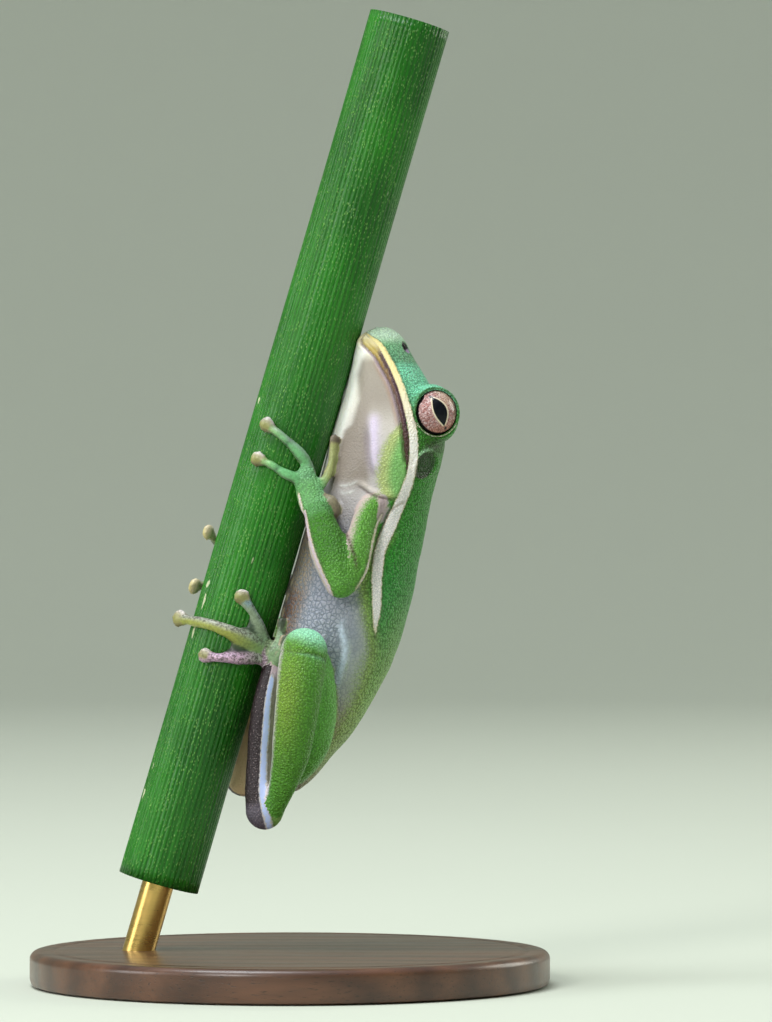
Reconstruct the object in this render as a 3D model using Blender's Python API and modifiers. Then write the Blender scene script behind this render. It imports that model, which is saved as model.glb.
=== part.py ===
"""A green tree frog, life size, climbing a cut length of reed on a plain display stand.

The script builds a still museum model for Blender 4.5. Its own units are millimetres, and meshes
are made in metres with +Z up. The origin is the centre of the stand's underside, and the viewer
of the frog's left side looks along +Y.

The frog is laid out in the reed's frame: u runs up the reed, v out from the reed's axis to the
frog's back, and w to the frog's left. A row of a table below is one cross-section of a form.
"""

import math

import bmesh
import bpy
import numpy as np
from mathutils import Matrix, Vector

MM = 0.001  # metres in a millimetre
GAP = 0.3  # clearance between solids that touch
WELD = 1e-7  # metres within which cut corners are one

# The display stand.
BASE_RADIUS = 26.0
BASE_THICKNESS = 3.5
BASE_ROUNDING = 0.8
BASE_SIDES = 56
ROD_RADIUS = 1.6
ROD_SIDES = 24

# The reed and its frame.
REED_RADIUS = 4.1
REED_LEAN = math.radians(16.26)
REED_FOOT = -29.4  # u of the lower cut
REED_TOP = 60.3  # u of the upper cut
REED_SIDES = 40
FRAME_X = -4.91  # where u and v are zero, above the stand
FRAME_Z = 38.5

# The head has a frame of its own, at the corner of the jaw: forward to the snout, and up to the crown.
JAW_CORNER = np.array((17.4, 12.3))
HEAD_FORWARD = np.array((0.803, -0.596))
HEAD_UP = np.array((0.596, 0.803))

# Head sections: forward, throat, mouth line, crown, half width, squareness above and below.
HEAD_ROWS = (
    (14.15, 1.3, 1.7, 2.2, 0.55, 2.0, 2.0),
    (14.03, 0.6, 1.1, 2.65, 1.15, 2.1, 2.0),
    (13.85, 0.0, 0.5, 3.0, 1.75, 2.2, 2.0),
    (13.5, -0.4, 0.15, 3.35, 2.3, 2.3, 2.0),
    (13.0, -0.8, 0.05, 3.75, 2.75, 2.4, 2.0),
    (12.2, -1.35, 0.35, 4.08, 3.3, 2.5, 1.9),
    (10.9, -2.2, 0.8, 4.25, 4.1, 2.5, 1.8),
    (9.5, -3.2, 1.0, 4.45, 4.85, 2.5, 1.7),
    (8.0, -4.3, 1.1, 4.75, 5.55, 2.5, 1.7),
    (6.5, -5.4, 1.15, 4.95, 6.15, 2.4, 1.7),
    (5.0, -6.5, 1.05, 5.1, 6.6, 2.3, 1.7),
)

# Trunk sections: belly u and v, side u and v, back u and v, half width, squareness above and below.
TRUNK_ROWS = (
    (15.5, 4.2, 20.25, 11.15, 22.6, 14.65, 6.95, 2.2, 1.7),
    (13.4, 4.2, 18.2, 12.1, 20.25, 15.25, 7.05, 2.1, 1.7),
    (11.3, 4.2, 15.4, 11.9, 17.3, 15.4, 6.6, 2.1, 1.7),
    (9.0, 4.2, 12.3, 11.1, 14.2, 15.55, 6.3, 2.1, 1.7),
    (6.4, 4.2, 8.7, 10.7, 10.5, 15.9, 6.5, 2.1, 1.7),
    (3.5, 4.2, 4.8, 10.3, 6.2, 16.25, 6.9, 2.1, 1.8),
    (0.4, 4.2, 1.0, 10.2, 1.8, 16.5, 7.2, 2.1, 1.8),
    (-2.8, 4.4, -2.6, 10.1, -2.4, 16.15, 6.9, 2.1, 1.9),
    (-6.0, 4.8, -6.0, 9.9, -6.2, 15.4, 6.2, 2.1, 1.9),
    (-9.2, 5.3, -9.4, 9.8, -9.7, 14.4, 5.4, 2.0, 2.0),
    (-12.2, 6.1, -12.4, 9.4, -12.7, 13.0, 4.5, 2.0, 2.0),
    (-14.8, 7.3, -15.1, 9.4, -15.3, 11.8, 3.4, 2.0, 2.0),
    (-16.5, 8.6, -16.7, 9.6, -16.7, 10.8, 2.0, 2.0, 2.0),
)
SNOUT_TIP = (14.2, 1.8)  # forward and up, in the head's frame
VENT = (-17.2, 9.7)  # u and v
MOUTH_ENDS = (0.3, 14.0)  # how far forward the mouth line starts and stops
MOUTH_DEPTH = 0.3
LIP_SWELL = 0.12
LIP_ANGLE = math.radians(5.0)  # half the opening of the mouth's groove, round the section
TRUNK_STEPS = 12  # even steps round half a section
NECK_CUT = ((11.8, 4.2), (17.0, 15.4))  # the plane between head and torso, at belly and back

# Eyes, eardrums and nostrils, in the reed's frame, for the left side.
EYE_CENTRE = (23.25, 13.32, 4.75)
EYE_RADIUS = 2.08
LID_SIZE = (2.95, 2.4, 2.5)  # half lengths forward, up and out
SOCKET_CLEARANCE = 0.1
EYE_AXIS = (0.12, 0.2, 1.0)
LID_OPENING = 2.12  # radius of the opening between the lids
OPENING_START = 0.25  # how far out along the eye's axis the opening starts
OPENING_DEPTH = 2.0
BALL_RINGS = 9
PLUG_SIDES = 20
EARDRUM_CENTRE = (18.1, 13.6, 5.75)
EARDRUM_AXIS = (0.1, 0.45, 1.0)
EARDRUM_RADIUS = 1.15
EARDRUM_RISE = 0.3
EARDRUM_RIM = 0.25
EARDRUM_DISH = 0.15
NOSTRIL_CENTRE = (28.75, 8.75, 1.75)
NOSTRIL_AXIS = (0.45, 0.6, 0.7)
NOSTRIL_RADIUS = 0.24
PIT_DEPTH = 0.55

# Limb sections: u, v, w of the centre, half width beside the reed, half depth along w.
LIMB_SIDES = 14
PALM_SIDES = 10
LIMB_STEPS = 2  # rings made between two rows of a table
CAP_ANGLES = np.radians((60.0, 30.0))  # rings of a round end
LEFT_UPPER_ARM = (
    (13.4, 11.0, 4.6, 1.5, 1.6),
    (12.6, 10.1, 5.6, 1.35, 1.5),
    (11.1, 9.75, 6.6, 1.3, 1.4),
    (9.0, 9.8, 7.4, 1.35, 1.35),
    (6.6, 9.9, 7.9, 1.45, 1.4),
    (5.0, 9.6, 8.1, 1.4, 1.35),
)
LEFT_FOREARM = (
    (4.6, 9.1, 8.3, 1.6, 1.5),
    (6.4, 7.8, 7.9, 1.9, 1.6),
    (8.2, 6.5, 7.1, 1.84, 1.5),
    (9.6, 5.55, 6.3, 1.6, 1.3),
    (10.5, 4.9, 5.7, 1.35, 1.1),
)
LEFT_PALM = (
    (11.1, 4.35, 5.2, 1.4, 0.95),
    (12.2, 3.7, 4.5, 1.35, 0.85),
    (13.2, 3.1, 4.1, 1.2, 0.72),
    (13.9, 2.8, 4.2, 0.9, 0.6),
)
LEFT_THIGH = (
    (-14.6, 9.9, 2.7, 1.6, 1.7),
    (-13.2, 10.3, 4.0, 1.95, 1.95),
    (-11.4, 10.4, 5.2, 2.3, 2.2),
    (-9.0, 10.1, 6.3, 2.42, 2.2),
    (-6.6, 9.5, 7.1, 2.3, 2.0),
    (-4.6, 8.8, 7.8, 2.1, 1.8),
    (-3.2, 8.1, 8.3, 1.9, 1.6),
)
LEFT_SHANK = (
    (-2.9, 7.6, 9.6, 2.35, 1.8),
    (-5.0, 7.85, 10.1, 2.32, 1.75),
    (-7.9, 8.35, 9.9, 2.22, 1.75),
    (-10.9, 8.85, 9.2, 2.07, 1.65),
    (-14.0, 9.2, 8.1, 1.75, 1.45),
    (-16.9, 9.2, 6.9, 1.25, 1.15),
    (-18.7, 9.1, 6.1, 1.05, 1.0),
)
LEFT_TARSUS = (
    (-19.2, 8.2, 5.6, 1.95, 1.3),
    (-17.6, 7.35, 5.3, 1.6, 1.2),
    (-14.8, 6.45, 4.8, 1.4, 1.1),
    (-11.9, 5.8, 4.6, 1.38, 1.1),
    (-8.9, 5.2, 4.3, 1.2, 1.0),
    (-6.9, 5.0, 3.9, 1.05, 0.9),
    (-5.6, 4.9, 3.5, 0.9, 0.8),
)
LEFT_SOLE = (
    (-5.5, 4.9, 3.45, 0.95, 0.75),
    (-4.5, 4.6, 3.2, 1.1, 0.7),
    (-3.9, 4.2, 3.3, 1.0, 0.6),
)
RIGHT_UPPER_ARM = (
    (13.4, 11.0, 4.6, 1.5, 1.6),
    (12.2, 10.2, 5.8, 1.35, 1.45),
    (9.8, 9.9, 7.1, 1.35, 1.35),
    (6.8, 10.0, 7.8, 1.4, 1.35),
    (4.2, 10.1, 8.2, 1.4, 1.35),
)
RIGHT_FOREARM = (
    (3.6, 9.9, 8.3, 1.6, 1.5),
    (3.0, 8.6, 7.9, 1.8, 1.6),
    (2.8, 7.0, 7.1, 1.75, 1.5),
    (2.7, 5.6, 6.2, 1.5, 1.3),
    (2.7, 4.4, 5.4, 1.25, 1.0),
)
RIGHT_PALM = (
    (2.7, 4.0, 5.1, 1.15, 0.85),
    (2.8, 2.9, 4.65, 1.15, 0.75),
    (2.9, 2.0, 4.75, 1.0, 0.62),
)
RIGHT_THIGH = (
    (-14.6, 9.8, 2.7, 1.6, 1.7),
    (-13.0, 10.0, 4.1, 1.95, 1.95),
    (-11.0, 9.9, 5.4, 2.3, 2.2),
    (-8.2, 9.2, 6.5, 2.45, 2.2),
    (-5.8, 8.2, 7.3, 2.3, 2.0),
    (-3.7, 7.2, 7.9, 2.1, 1.8),
    (-2.2, 6.4, 8.3, 1.9, 1.6),
)
RIGHT_SHANK = (
    (-1.9, 6.0, 9.5, 2.3, 1.8),
    (-3.9, 6.2, 9.9, 2.28, 1.75),
    (-6.8, 6.5, 9.7, 2.2, 1.75),
    (-9.7, 6.7, 8.9, 2.05, 1.65),
    (-12.6, 6.6, 7.8, 1.7, 1.45),
    (-15.2, 6.3, 6.6, 1.25, 1.15),
    (-17.0, 5.9, 5.8, 1.0, 1.0),
)
RIGHT_TARSUS = (
    (-17.3, 5.2, 5.7, 1.9, 1.3),
    (-15.4, 4.7, 5.5, 1.5, 1.15),
    (-12.7, 4.1, 5.5, 1.35, 1.1),
    (-9.8, 3.6, 5.5, 1.35, 1.1),
    (-7.4, 3.2, 5.4, 1.15, 0.95),
    (-6.0, 2.9, 5.1, 0.95, 0.8),
)
RIGHT_SOLE = (
    (-5.9, 2.9, 5.0, 0.95, 0.75),
    (-4.9, 2.6, 4.7, 1.1, 0.7),
    (-4.3, 2.2, 4.65, 1.0, 0.6),
)

# Digits: u, v and half width, root to tip, where a digit lies on the reed. Four numbers are u, v, w and
# half width of one that stands free. The last row of each is the centre of its disc.
LEFT_FINGERS = {
    "first": ((12.0, 4.6, 4.6, 0.5), (12.1, 5.6, 4.9, 0.6), (11.6, 6.3, 5.1, 0.62), (10.4, 6.3, 4.9, 0.45)),
    "second": ((12.7, 4.2, 4.1, 0.5), (14.0, 4.8, 3.9, 0.45), (15.6, 4.9, 3.7, 0.4), (18.0, 4.5, 3.5, 0.56)),
    "third": ((13.0, 3.5, 0.68), (14.7, 2.7, 0.64), (15.9, 1.3, 0.56), (16.9, -0.7, 0.44), (17.5, -2.3, 0.8)),
    "fourth": ((12.6, 3.2, 0.64), (13.2, 1.9, 0.56), (13.4, 0.6, 0.48), (13.8, -0.7, 0.4), (14.0, -2.2, 0.8)),
}
RIGHT_FINGERS = {
    "first": ((2.0, 3.2, 0.5), (1.3, 3.4, 0.46), (0.6, 3.4, 0.38), (-0.1, 3.3, 0.6)),
    "second": ((3.4, 2.7, 0.5), (5.0, 2.6, 0.45), (6.8, 2.2, 0.4), (8.9, 1.7, 0.75)),
    "third": ((3.0, 2.2, 0.62), (3.6, 0.9, 0.58), (4.1, -1.2, 0.5), (4.6, -3.6, 0.4), (5.55, -5.0, 0.85)),
    "fourth": ((2.5, 2.0, 0.6), (1.9, 0.6, 0.54), (1.2, -1.4, 0.44), (0.6, -3.6, 0.38), (0.0, -4.8, 0.85)),
}
LEFT_TOES = {
    "first": ((-4.8, 5.1, 3.9, 0.45), (-3.6, 5.4, 4.2, 0.4), (-2.4, 5.4, 4.5, 0.42)),
    "second": ((-4.2, 4.5, 3.9, 0.45), (-2.5, 4.75, 3.8, 0.38), (-0.9, 4.55, 3.6, 0.46)),
    "third": ((-4.1, 4.2, 0.6), (-2.8, 3.3, 0.56), (-1.0, 1.8, 0.48), (0.4, 0.15, 0.82)),
    "fourth": (
        (-4.4, 4.3, 0.75),
        (-3.8, 3.0, 0.74),
        (-3.35, 0.8, 0.7),
        (-3.1, -1.9, 0.6),
        (-3.3, -4.0, 0.5),
        (-3.45, -5.3, 0.88),
    ),
    "fifth": ((-4.9, 4.4, 0.6), (-5.1, 3.2, 0.6), (-5.6, 1.3, 0.54), (-6.0, -0.3, 0.46), (-6.2, -1.75, 0.8)),
}
RIGHT_TOES = {
    "first": ((-4.9, 3.4, 0.45), (-3.9, 3.9, 0.4), (-3.1, 4.0, 0.5)),
    "second": ((-4.3, 2.8, 0.5), (-3.2, 2.8, 0.44), (-2.1, 2.7, 0.65)),
    "third": ((-4.4, 2.3, 0.6), (-3.2, 1.0, 0.56), (-2.0, -0.5, 0.46), (-0.9, -1.8, 0.8)),
    "fourth": ((-4.8, 2.4, 0.75), (-4.6, 1.0, 0.7), (-4.5, -0.8, 0.6), (-4.6, -2.1, 0.5), (-4.7, -3.3, 0.8)),
    "fifth": ((-5.3, 2.4, 0.6), (-6.4, 1.2, 0.58), (-7.2, 0.0, 0.5), (-7.9, -1.2, 0.8)),
}
DIGIT_SIDES = 8
DIGIT_DEPTH = 0.6  # most half thickness of a digit
DISC_DEPTH = 0.45  # half thickness of a disc
PAST_REED_W = 1.2  # w of a disc that reaches past the reed's edge
WEBS = (("third", "fourth", 0.72, 0.5), ("fourth", "fifth", 0.5, 0.8))  # toes, and how far along each
WEB_THICKNESS = 0.5
WEB_SCOOP = 0.2  # how deep the free edge is hollowed
WEB_POINTS = 5  # points across and along a web

# A side's tables: upper arm, forearm, palm, fingers, thigh, shank, tarsus, sole and toes.
SIDES = {
    "left": (
        1,
        (LEFT_UPPER_ARM, LEFT_FOREARM, LEFT_PALM, LEFT_FINGERS),
        (LEFT_THIGH, LEFT_SHANK, LEFT_TARSUS, LEFT_SOLE, LEFT_TOES),
    ),
    "right": (
        -1,
        (RIGHT_UPPER_ARM, RIGHT_FOREARM, RIGHT_PALM, RIGHT_FINGERS),
        (RIGHT_THIGH, RIGHT_SHANK, RIGHT_TARSUS, RIGHT_SOLE, RIGHT_TOES),
    ),
}

# Finishes: colour, roughness and metallic value.
FINISHES = {
    "skin": ((0.12, 0.32, 0.05), 0.45, 0.0),
    "eye": ((0.55, 0.30, 0.24), 0.1, 0.0),
    "reed": ((0.03, 0.17, 0.02), 0.5, 0.0),
    "wood": ((0.06, 0.03, 0.018), 0.35, 0.0),
    "brass": ((0.65, 0.48, 0.2), 0.25, 1.0),
}


def clear_scene():
    for obj in list(bpy.data.objects):
        bpy.data.objects.remove(obj, do_unlink=True)


def collection(name):
    made = bpy.data.collections.new(name)
    bpy.context.scene.collection.children.link(made)
    return made


def material(name):
    """A Principled material in the named finish."""
    colour, roughness, metallic = FINISHES[name]
    made = bpy.data.materials.get(name) or bpy.data.materials.new(name)
    made.use_nodes = True
    shader = made.node_tree.nodes["Principled BSDF"]
    shader.inputs["Base Color"].default_value = (*colour, 1.0)
    shader.inputs["Roughness"].default_value = roughness
    shader.inputs["Metallic"].default_value = metallic
    return made


def unit(vectors):
    vectors = np.asarray(vectors, float)
    return vectors / np.linalg.norm(vectors, axis=-1, keepdims=True)


def to_world(points):
    """Points of the reed's frame, in millimetres, as world points in metres."""
    u, v, w = np.moveaxis(np.asarray(points, float), -1, 0)
    x = FRAME_X + u * math.sin(REED_LEAN) + v * math.cos(REED_LEAN)
    z = FRAME_Z + u * math.cos(REED_LEAN) - v * math.sin(REED_LEAN)
    return np.stack((x, -w, z), axis=-1) * MM


def axis_to_world(axis):
    """A direction of the reed's frame as a world direction."""
    return Vector(unit(to_world(axis) - to_world((0.0, 0.0, 0.0))))


def from_head(forward, up):
    """A point of the head's frame as u and v."""
    return JAW_CORNER + forward * HEAD_FORWARD + up * HEAD_UP


def flipped(point):
    """The same place on the frog's right."""
    return (point[0], point[1], -point[2])


def both_sides(point):
    return (point, flipped(point))


def beyond(point, axis, distance):
    return tuple(np.asarray(point) + unit(axis) * distance)


def through(rows, steps):
    """A Catmull-Rom curve through the rows of a table, with so many steps between two rows."""
    rows = np.asarray(rows, float)
    ends = np.vstack((2 * rows[0] - rows[1], rows, 2 * rows[-1] - rows[-2]))
    places = np.linspace(0, len(rows) - 1, (len(rows) - 1) * steps + 1)
    first = np.minimum(places.astype(int), len(rows) - 2)
    t = (places - first)[:, None]
    a, b, c, d = (ends[first + k] for k in range(4))
    return 0.5 * (2 * b + (c - a) * t + (2 * a - 5 * b + 4 * c - d) * t**2 + (3 * b - a - 3 * c + d) * t**3)


def clear_of_reed(points):
    """Moves points that lie in the reed, or too close to it, out to the gap."""
    distance = np.hypot(points[:, 1], points[:, 2])
    scale = np.maximum(1.0, (REED_RADIUS + GAP) / np.maximum(distance, GAP))
    return points * np.column_stack((np.ones(len(points)), scale, scale))


def make_object(name, mesh, group):
    """Links a mesh as an object, in triangles that all face outwards."""
    shell = bmesh.new()
    shell.from_mesh(mesh)
    bmesh.ops.triangulate(shell, faces=shell.faces)
    bmesh.ops.recalc_face_normals(shell, faces=shell.faces)
    shell.to_mesh(mesh)
    shell.free()
    obj = bpy.data.objects.new(name, mesh)
    group.objects.link(obj)
    return obj


def frog_object(name, points, faces, group, side):
    """An object from points of the reed's frame, kept clear of the reed. Side -1 is the frog's right."""
    mesh = bpy.data.meshes.new(name)
    placed = to_world(clear_of_reed(points) * (1.0, 1.0, side))
    mesh.from_pydata(placed.tolist(), [], faces)
    return make_object(name, mesh, group)


def loft(name, rings, first_tip, last_tip, group, side=1):
    """A closed skin over rings of points, with a point at each end."""
    count, sides = rings.shape[:2]
    last = (count - 1) * sides
    faces = []
    for j in range(sides):
        k = (j + 1) % sides
        faces.append((j, k, count * sides))
        faces.append((last + k, last + j, count * sides + 1))
        for i in range(0, last, sides):
            faces.append((i + j, i + sides + j, i + sides + k, i + k))
    points = np.vstack((rings.reshape(-1, 3), first_tip, last_tip))
    return frog_object(name, points, faces, group, side)


def tapered_tube(name, rows, group, side, sides, facing_reed=False):
    """A round-ended limb through sections of u, v, w, half width and half depth."""
    path = through(rows, LIMB_STEPS)
    centre, width, depth = path[:, :3], path[:, 3], path[:, 4]
    along = unit(np.gradient(centre, axis=0))
    outward = centre * (0.0, 1.0, 1.0) if facing_reed else np.array((0.0, 0.0, 1.0))
    out = unit(outward - (outward * along).sum(1, keepdims=True) * along)
    across = np.cross(along, out)
    index = np.concatenate(([0, 0], np.arange(len(path)), [-1, -1]))
    shrink = np.concatenate((np.cos(CAP_ANGLES), np.ones(len(path)), np.cos(CAP_ANGLES[::-1])))
    reach = np.concatenate((-np.sin(CAP_ANGLES), np.zeros(len(path)), np.sin(CAP_ANGLES[::-1])))
    middle = centre[index] + along[index] * (reach * width[index])[:, None]
    angle = np.linspace(0, 2 * math.pi, sides, endpoint=False)[None, :, None]
    wide = (across[index] * (width[index] * shrink)[:, None])[:, None] * np.cos(angle)
    deep = (out[index] * (depth[index] * shrink)[:, None])[:, None] * np.sin(angle)
    tips = centre[0] - along[0] * width[0], centre[-1] + along[-1] * width[-1]
    return loft(name, middle[:, None] + wide + deep, *tips, group, side)


def limb(name, rows, group, side, sides=LIMB_SIDES, grow=0.0):
    return tapered_tube(name, np.array(rows) + (0.0, 0.0, 0.0, grow, grow), group, side, sides)


def digit_sections(rows):
    """Sections of a digit, with a neck before the round disc at its end."""
    rows = np.asarray(rows, float)
    width = rows[:, -1]
    depth = np.minimum(width, DIGIT_DEPTH)
    depth[-1] = min(DISC_DEPTH, width[-1])
    if rows.shape[1] == 3:
        reach = REED_RADIUS + GAP + depth
        w = np.sqrt(np.maximum(reach**2 - rows[:, 1] ** 2, PAST_REED_W**2))
    else:
        w = rows[:, 2]
    sections = np.column_stack((rows[:, 0], rows[:, 1], w, width, depth))
    disc, joint = sections[-1], sections[-2]
    back = unit(joint[:3] - disc[:3]) * disc[3]
    neck = (*disc[:3] + 0.95 * back, *joint[3:])
    swell = (*disc[:3] + 0.5 * back, *0.87 * disc[3:])
    return np.vstack((sections[:-1], neck, swell, disc))


def digit(name, rows, group, side):
    return tapered_tube(name, digit_sections(rows), group, side, DIGIT_SIDES, facing_reed=True)


def web(name, toes, reaches, group, side):
    """A thin curved membrane between two toes, with a hollowed free edge. Both faces are split alike."""
    edges = []
    for toe, reach in zip(toes, reaches):
        line = through(digit_sections(toe)[:-2, :3], 8)
        edges.append(line[: int(len(line) * reach)])
    share = np.linspace(0, 1, WEB_POINTS)
    rings = []
    for t in np.linspace(0, 1, WEB_POINTS):
        place = t * (1 - WEB_SCOOP * np.sin(math.pi * share) * t)
        first, second = (
            np.column_stack([np.interp(place * (len(e) - 1), range(len(e)), e[:, k]) for k in range(3)])
            for e in edges
        )
        line = first * (1 - share)[:, None] + second * share[:, None]
        outward = unit(line * (0.0, 1.0, 1.0))
        inner = outward * (REED_RADIUS + GAP) + line * (1.0, 0.0, 0.0)
        rings.append(np.vstack((inner, (inner + outward * WEB_THICKNESS)[::-1])))
    count = 2 * WEB_POINTS
    faces = []
    for i in range(0, (WEB_POINTS - 1) * count, count):
        for j in range(count):
            k = (j + 1) % count
            a, b, c, d = i + j, i + count + j, i + count + k, i + k
            faces += [(a, b, c), (a, c, d)] if j < WEB_POINTS else [(a, b, d), (b, c, d)]
    for i in (0, (WEB_POINTS - 1) * count):
        for j in range(WEB_POINTS - 1):
            near, far = i + j, i + count - 1 - j
            faces += [(near, near + 1, far), (near + 1, far - 1, far)]
    return frog_object(name, np.vstack(rings), faces, group, side)


def trunk_sections():
    """Every section from snout to vent: belly, side and back as u and v, half width, squareness."""
    rows = []
    for forward, *heights, half_width, above, below in HEAD_ROWS:
        places = np.concatenate([from_head(forward, height) for height in heights])
        rows.append((*places, half_width, above, below))
    dense = through(rows + list(TRUNK_ROWS), 2)
    neck = 2 * len(HEAD_ROWS) + 5
    return np.vstack((dense[:neck], dense[neck + 1 :: 2]))


def trunk_angles():
    """Places round a section: even steps, and the two lips close to the mouth line on each side."""
    even = np.arange(1, TRUNK_STEPS) * math.pi / TRUNK_STEPS
    half = np.concatenate(((0.0, LIP_ANGLE), even, (math.pi - LIP_ANGLE,)))
    return np.concatenate((half, half + math.pi))


def trunk(name, group, grow=0.0):
    """Head and torso in one: a loft through sections of unlike width, height and squareness."""
    rows = trunk_sections()
    belly, flank, back = (np.column_stack((rows[:, k : k + 2], np.zeros(len(rows)))) for k in (0, 2, 4))
    angle = trunk_angles()
    rise, spread = np.sin(angle), np.cos(angle)
    above = rise >= 0
    power = 2 / np.where(above, rows[:, 7:8], rows[:, 8:9])
    height = np.abs(rise) ** power
    breadth = np.sign(spread) * np.abs(spread) ** power * (rows[:, 6:7] + grow)
    up = back - flank + unit(back - flank) * grow
    down = belly - flank + unit(belly - flank) * grow
    rings = flank[:, None] + np.where(above[None, :, None], up[:, None], down[:, None]) * height[..., None]
    if not grow:
        forward = (rows[:, 2:4] - JAW_CORNER) @ HEAD_FORWARD
        in_mouth = ((forward > MOUTH_ENDS[0]) & (forward < MOUTH_ENDS[1]))[:, None]
        line = np.isclose(rise, 0.0)
        lips = np.isclose(np.abs(rise), math.sin(LIP_ANGLE))
        breadth += np.sign(spread) * in_mouth * (LIP_SWELL * lips - MOUTH_DEPTH * line)
    rings = rings + breadth[..., None] * (0.0, 0.0, 1.0)
    snout = np.array((*from_head(*SNOUT_TIP), 0.0)) + np.array((*HEAD_FORWARD, 0.0)) * grow
    vent = np.array((*VENT, 0.0)) - (grow, 0.0, 0.0)
    return loft(name, rings, snout, vent, group)


def combine(obj, others, operation):
    """Applies one Boolean of obj with several closed objects, and removes them."""
    helpers = collection("helpers")
    for other in others:
        for group in list(other.users_collection):
            group.objects.unlink(other)
        helpers.objects.link(other)
    modifier = obj.modifiers.new("combine", "BOOLEAN")
    modifier.operation = operation
    modifier.operand_type = "COLLECTION"
    modifier.collection = helpers
    graph = bpy.context.evaluated_depsgraph_get()
    mesh = bpy.data.meshes.new_from_object(obj.evaluated_get(graph))
    obj.modifiers.clear()
    obj.data = mesh
    for other in others:
        bpy.data.objects.remove(other, do_unlink=True)
    bpy.data.collections.remove(helpers)


def island_of(start):
    """The faces that join up with one face."""
    found, queue = {start}, [start]
    while queue:
        for edge in queue.pop().edges:
            for face in edge.link_faces:
                if face not in found:
                    found.add(face)
                    queue.append(face)
    return found


def keep_largest(obj):
    """Leaves only the closed surface of most volume, in triangles."""
    shell = bmesh.new()
    shell.from_mesh(obj.data)
    bmesh.ops.remove_doubles(shell, verts=shell.verts, dist=WELD)
    bmesh.ops.triangulate(shell, faces=shell.faces)
    left, islands = set(shell.faces), []
    while left:
        islands.append(island_of(next(iter(left))))
        left -= islands[-1]

    def volume(island):
        corners = ([v.co for v in face.verts] for face in island)
        return abs(sum(a.dot(b.cross(c)) for a, b, c in corners))

    largest = max(islands, key=volume)
    spare = [face for face in shell.faces if face not in largest]
    bmesh.ops.delete(shell, geom=spare, context="FACES")
    bmesh.ops.recalc_face_normals(shell, faces=shell.faces)
    shell.to_mesh(obj.data)
    shell.free()


def cut_off(obj, point, normal):
    """Removes what lies behind a plane and closes the cut."""
    shell = bmesh.new()
    shell.from_mesh(obj.data)
    geometry = list(shell.verts) + list(shell.edges) + list(shell.faces)
    cut = bmesh.ops.bisect_plane(shell, geom=geometry, plane_co=point, plane_no=normal, clear_inner=True)
    rim = [item for item in cut["geom_cut"] if isinstance(item, bmesh.types.BMEdge)]
    bmesh.ops.holes_fill(shell, edges=rim)
    bmesh.ops.triangulate(shell, faces=shell.faces)
    bmesh.ops.recalc_face_normals(shell, faces=shell.faces)
    shell.to_mesh(obj.data)
    shell.free()


def ball(name, centre, turn, size, group):
    """A ball or egg about a point of the reed's frame. Turn holds the world directions of its three axes."""
    shell = bmesh.new()
    bmesh.ops.create_uvsphere(shell, u_segments=2 * BALL_RINGS, v_segments=BALL_RINGS, radius=MM)
    mesh = bpy.data.meshes.new(name)
    shell.to_mesh(mesh)
    shell.free()
    stretch = Matrix.Diagonal((*size, 1.0))
    mesh.transform(Matrix.Translation(to_world(centre)) @ Matrix(turn).transposed().to_4x4() @ stretch)
    return make_object(name, mesh, group)


def plug(name, centre, axis, radius, group, depth, tip_radius=None):
    """A cylinder, or a cone narrowing inwards, across a surface, as long on both sides of a point."""
    inner = radius if tip_radius is None else tip_radius
    shell = bmesh.new()
    bmesh.ops.create_cone(
        shell,
        cap_ends=True,
        segments=PLUG_SIDES,
        radius1=inner * MM,
        radius2=radius * MM,
        depth=2 * depth * MM,
    )
    mesh = bpy.data.meshes.new(name)
    shell.to_mesh(mesh)
    shell.free()
    turn = Vector((0.0, 0.0, 1.0)).rotation_difference(axis_to_world(axis)).to_matrix().to_4x4()
    mesh.transform(Matrix.Translation(to_world(centre)) @ turn)
    return make_object(name, mesh, group)


def eyeball(name, centre, axis, radius, group):
    """A ball with its pole on the eye's axis."""
    pole = axis_to_world(axis)
    side = pole.orthogonal().normalized()
    return ball(name, centre, (side, pole.cross(side), pole), (radius,) * 3, group)


def shape_head(body, group):
    """Lids, eye sockets, eardrums and nostrils, on both sides of the head."""
    eyes = list(zip(both_sides(EYE_CENTRE), both_sides(EYE_AXIS)))
    drums = list(zip(both_sides(EARDRUM_CENTRE), both_sides(EARDRUM_AXIS)))
    nostrils = list(zip(both_sides(NOSTRIL_CENTRE), both_sides(NOSTRIL_AXIS)))
    head_axes = [axis_to_world(a) for a in ((*HEAD_FORWARD, 0.0), (*HEAD_UP, 0.0), (0.0, 0.0, 1.0))]
    raised = [ball("lid", centre, head_axes, LID_SIZE, group) for centre, axis in eyes]
    raised += [plug("eardrum", centre, axis, EARDRUM_RADIUS, group, EARDRUM_RISE) for centre, axis in drums]
    combine(body, raised, "UNION")
    socket = EYE_RADIUS + SOCKET_CLEARANCE
    hollows = [eyeball("socket", centre, axis, socket, group) for centre, axis in eyes]
    for centre, axis in eyes:
        mouth = beyond(centre, axis, OPENING_START + OPENING_DEPTH)
        hollows.append(plug("opening", mouth, axis, 1.06 * LID_OPENING, group, OPENING_DEPTH, LID_OPENING))
    combine(body, hollows, "DIFFERENCE")
    hollows = []
    for centre, axis in drums:
        face = beyond(centre, axis, EARDRUM_RISE - EARDRUM_DISH + PIT_DEPTH)
        hollows.append(plug("eardrum_dish", face, axis, EARDRUM_RADIUS - EARDRUM_RIM, group, PIT_DEPTH))
    for centre, axis in nostrils:
        hollows.append(plug("nostril", centre, axis, NOSTRIL_RADIUS, group, PIT_DEPTH, 0.5 * NOSTRIL_RADIUS))
    combine(body, hollows, "DIFFERENCE")


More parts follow.
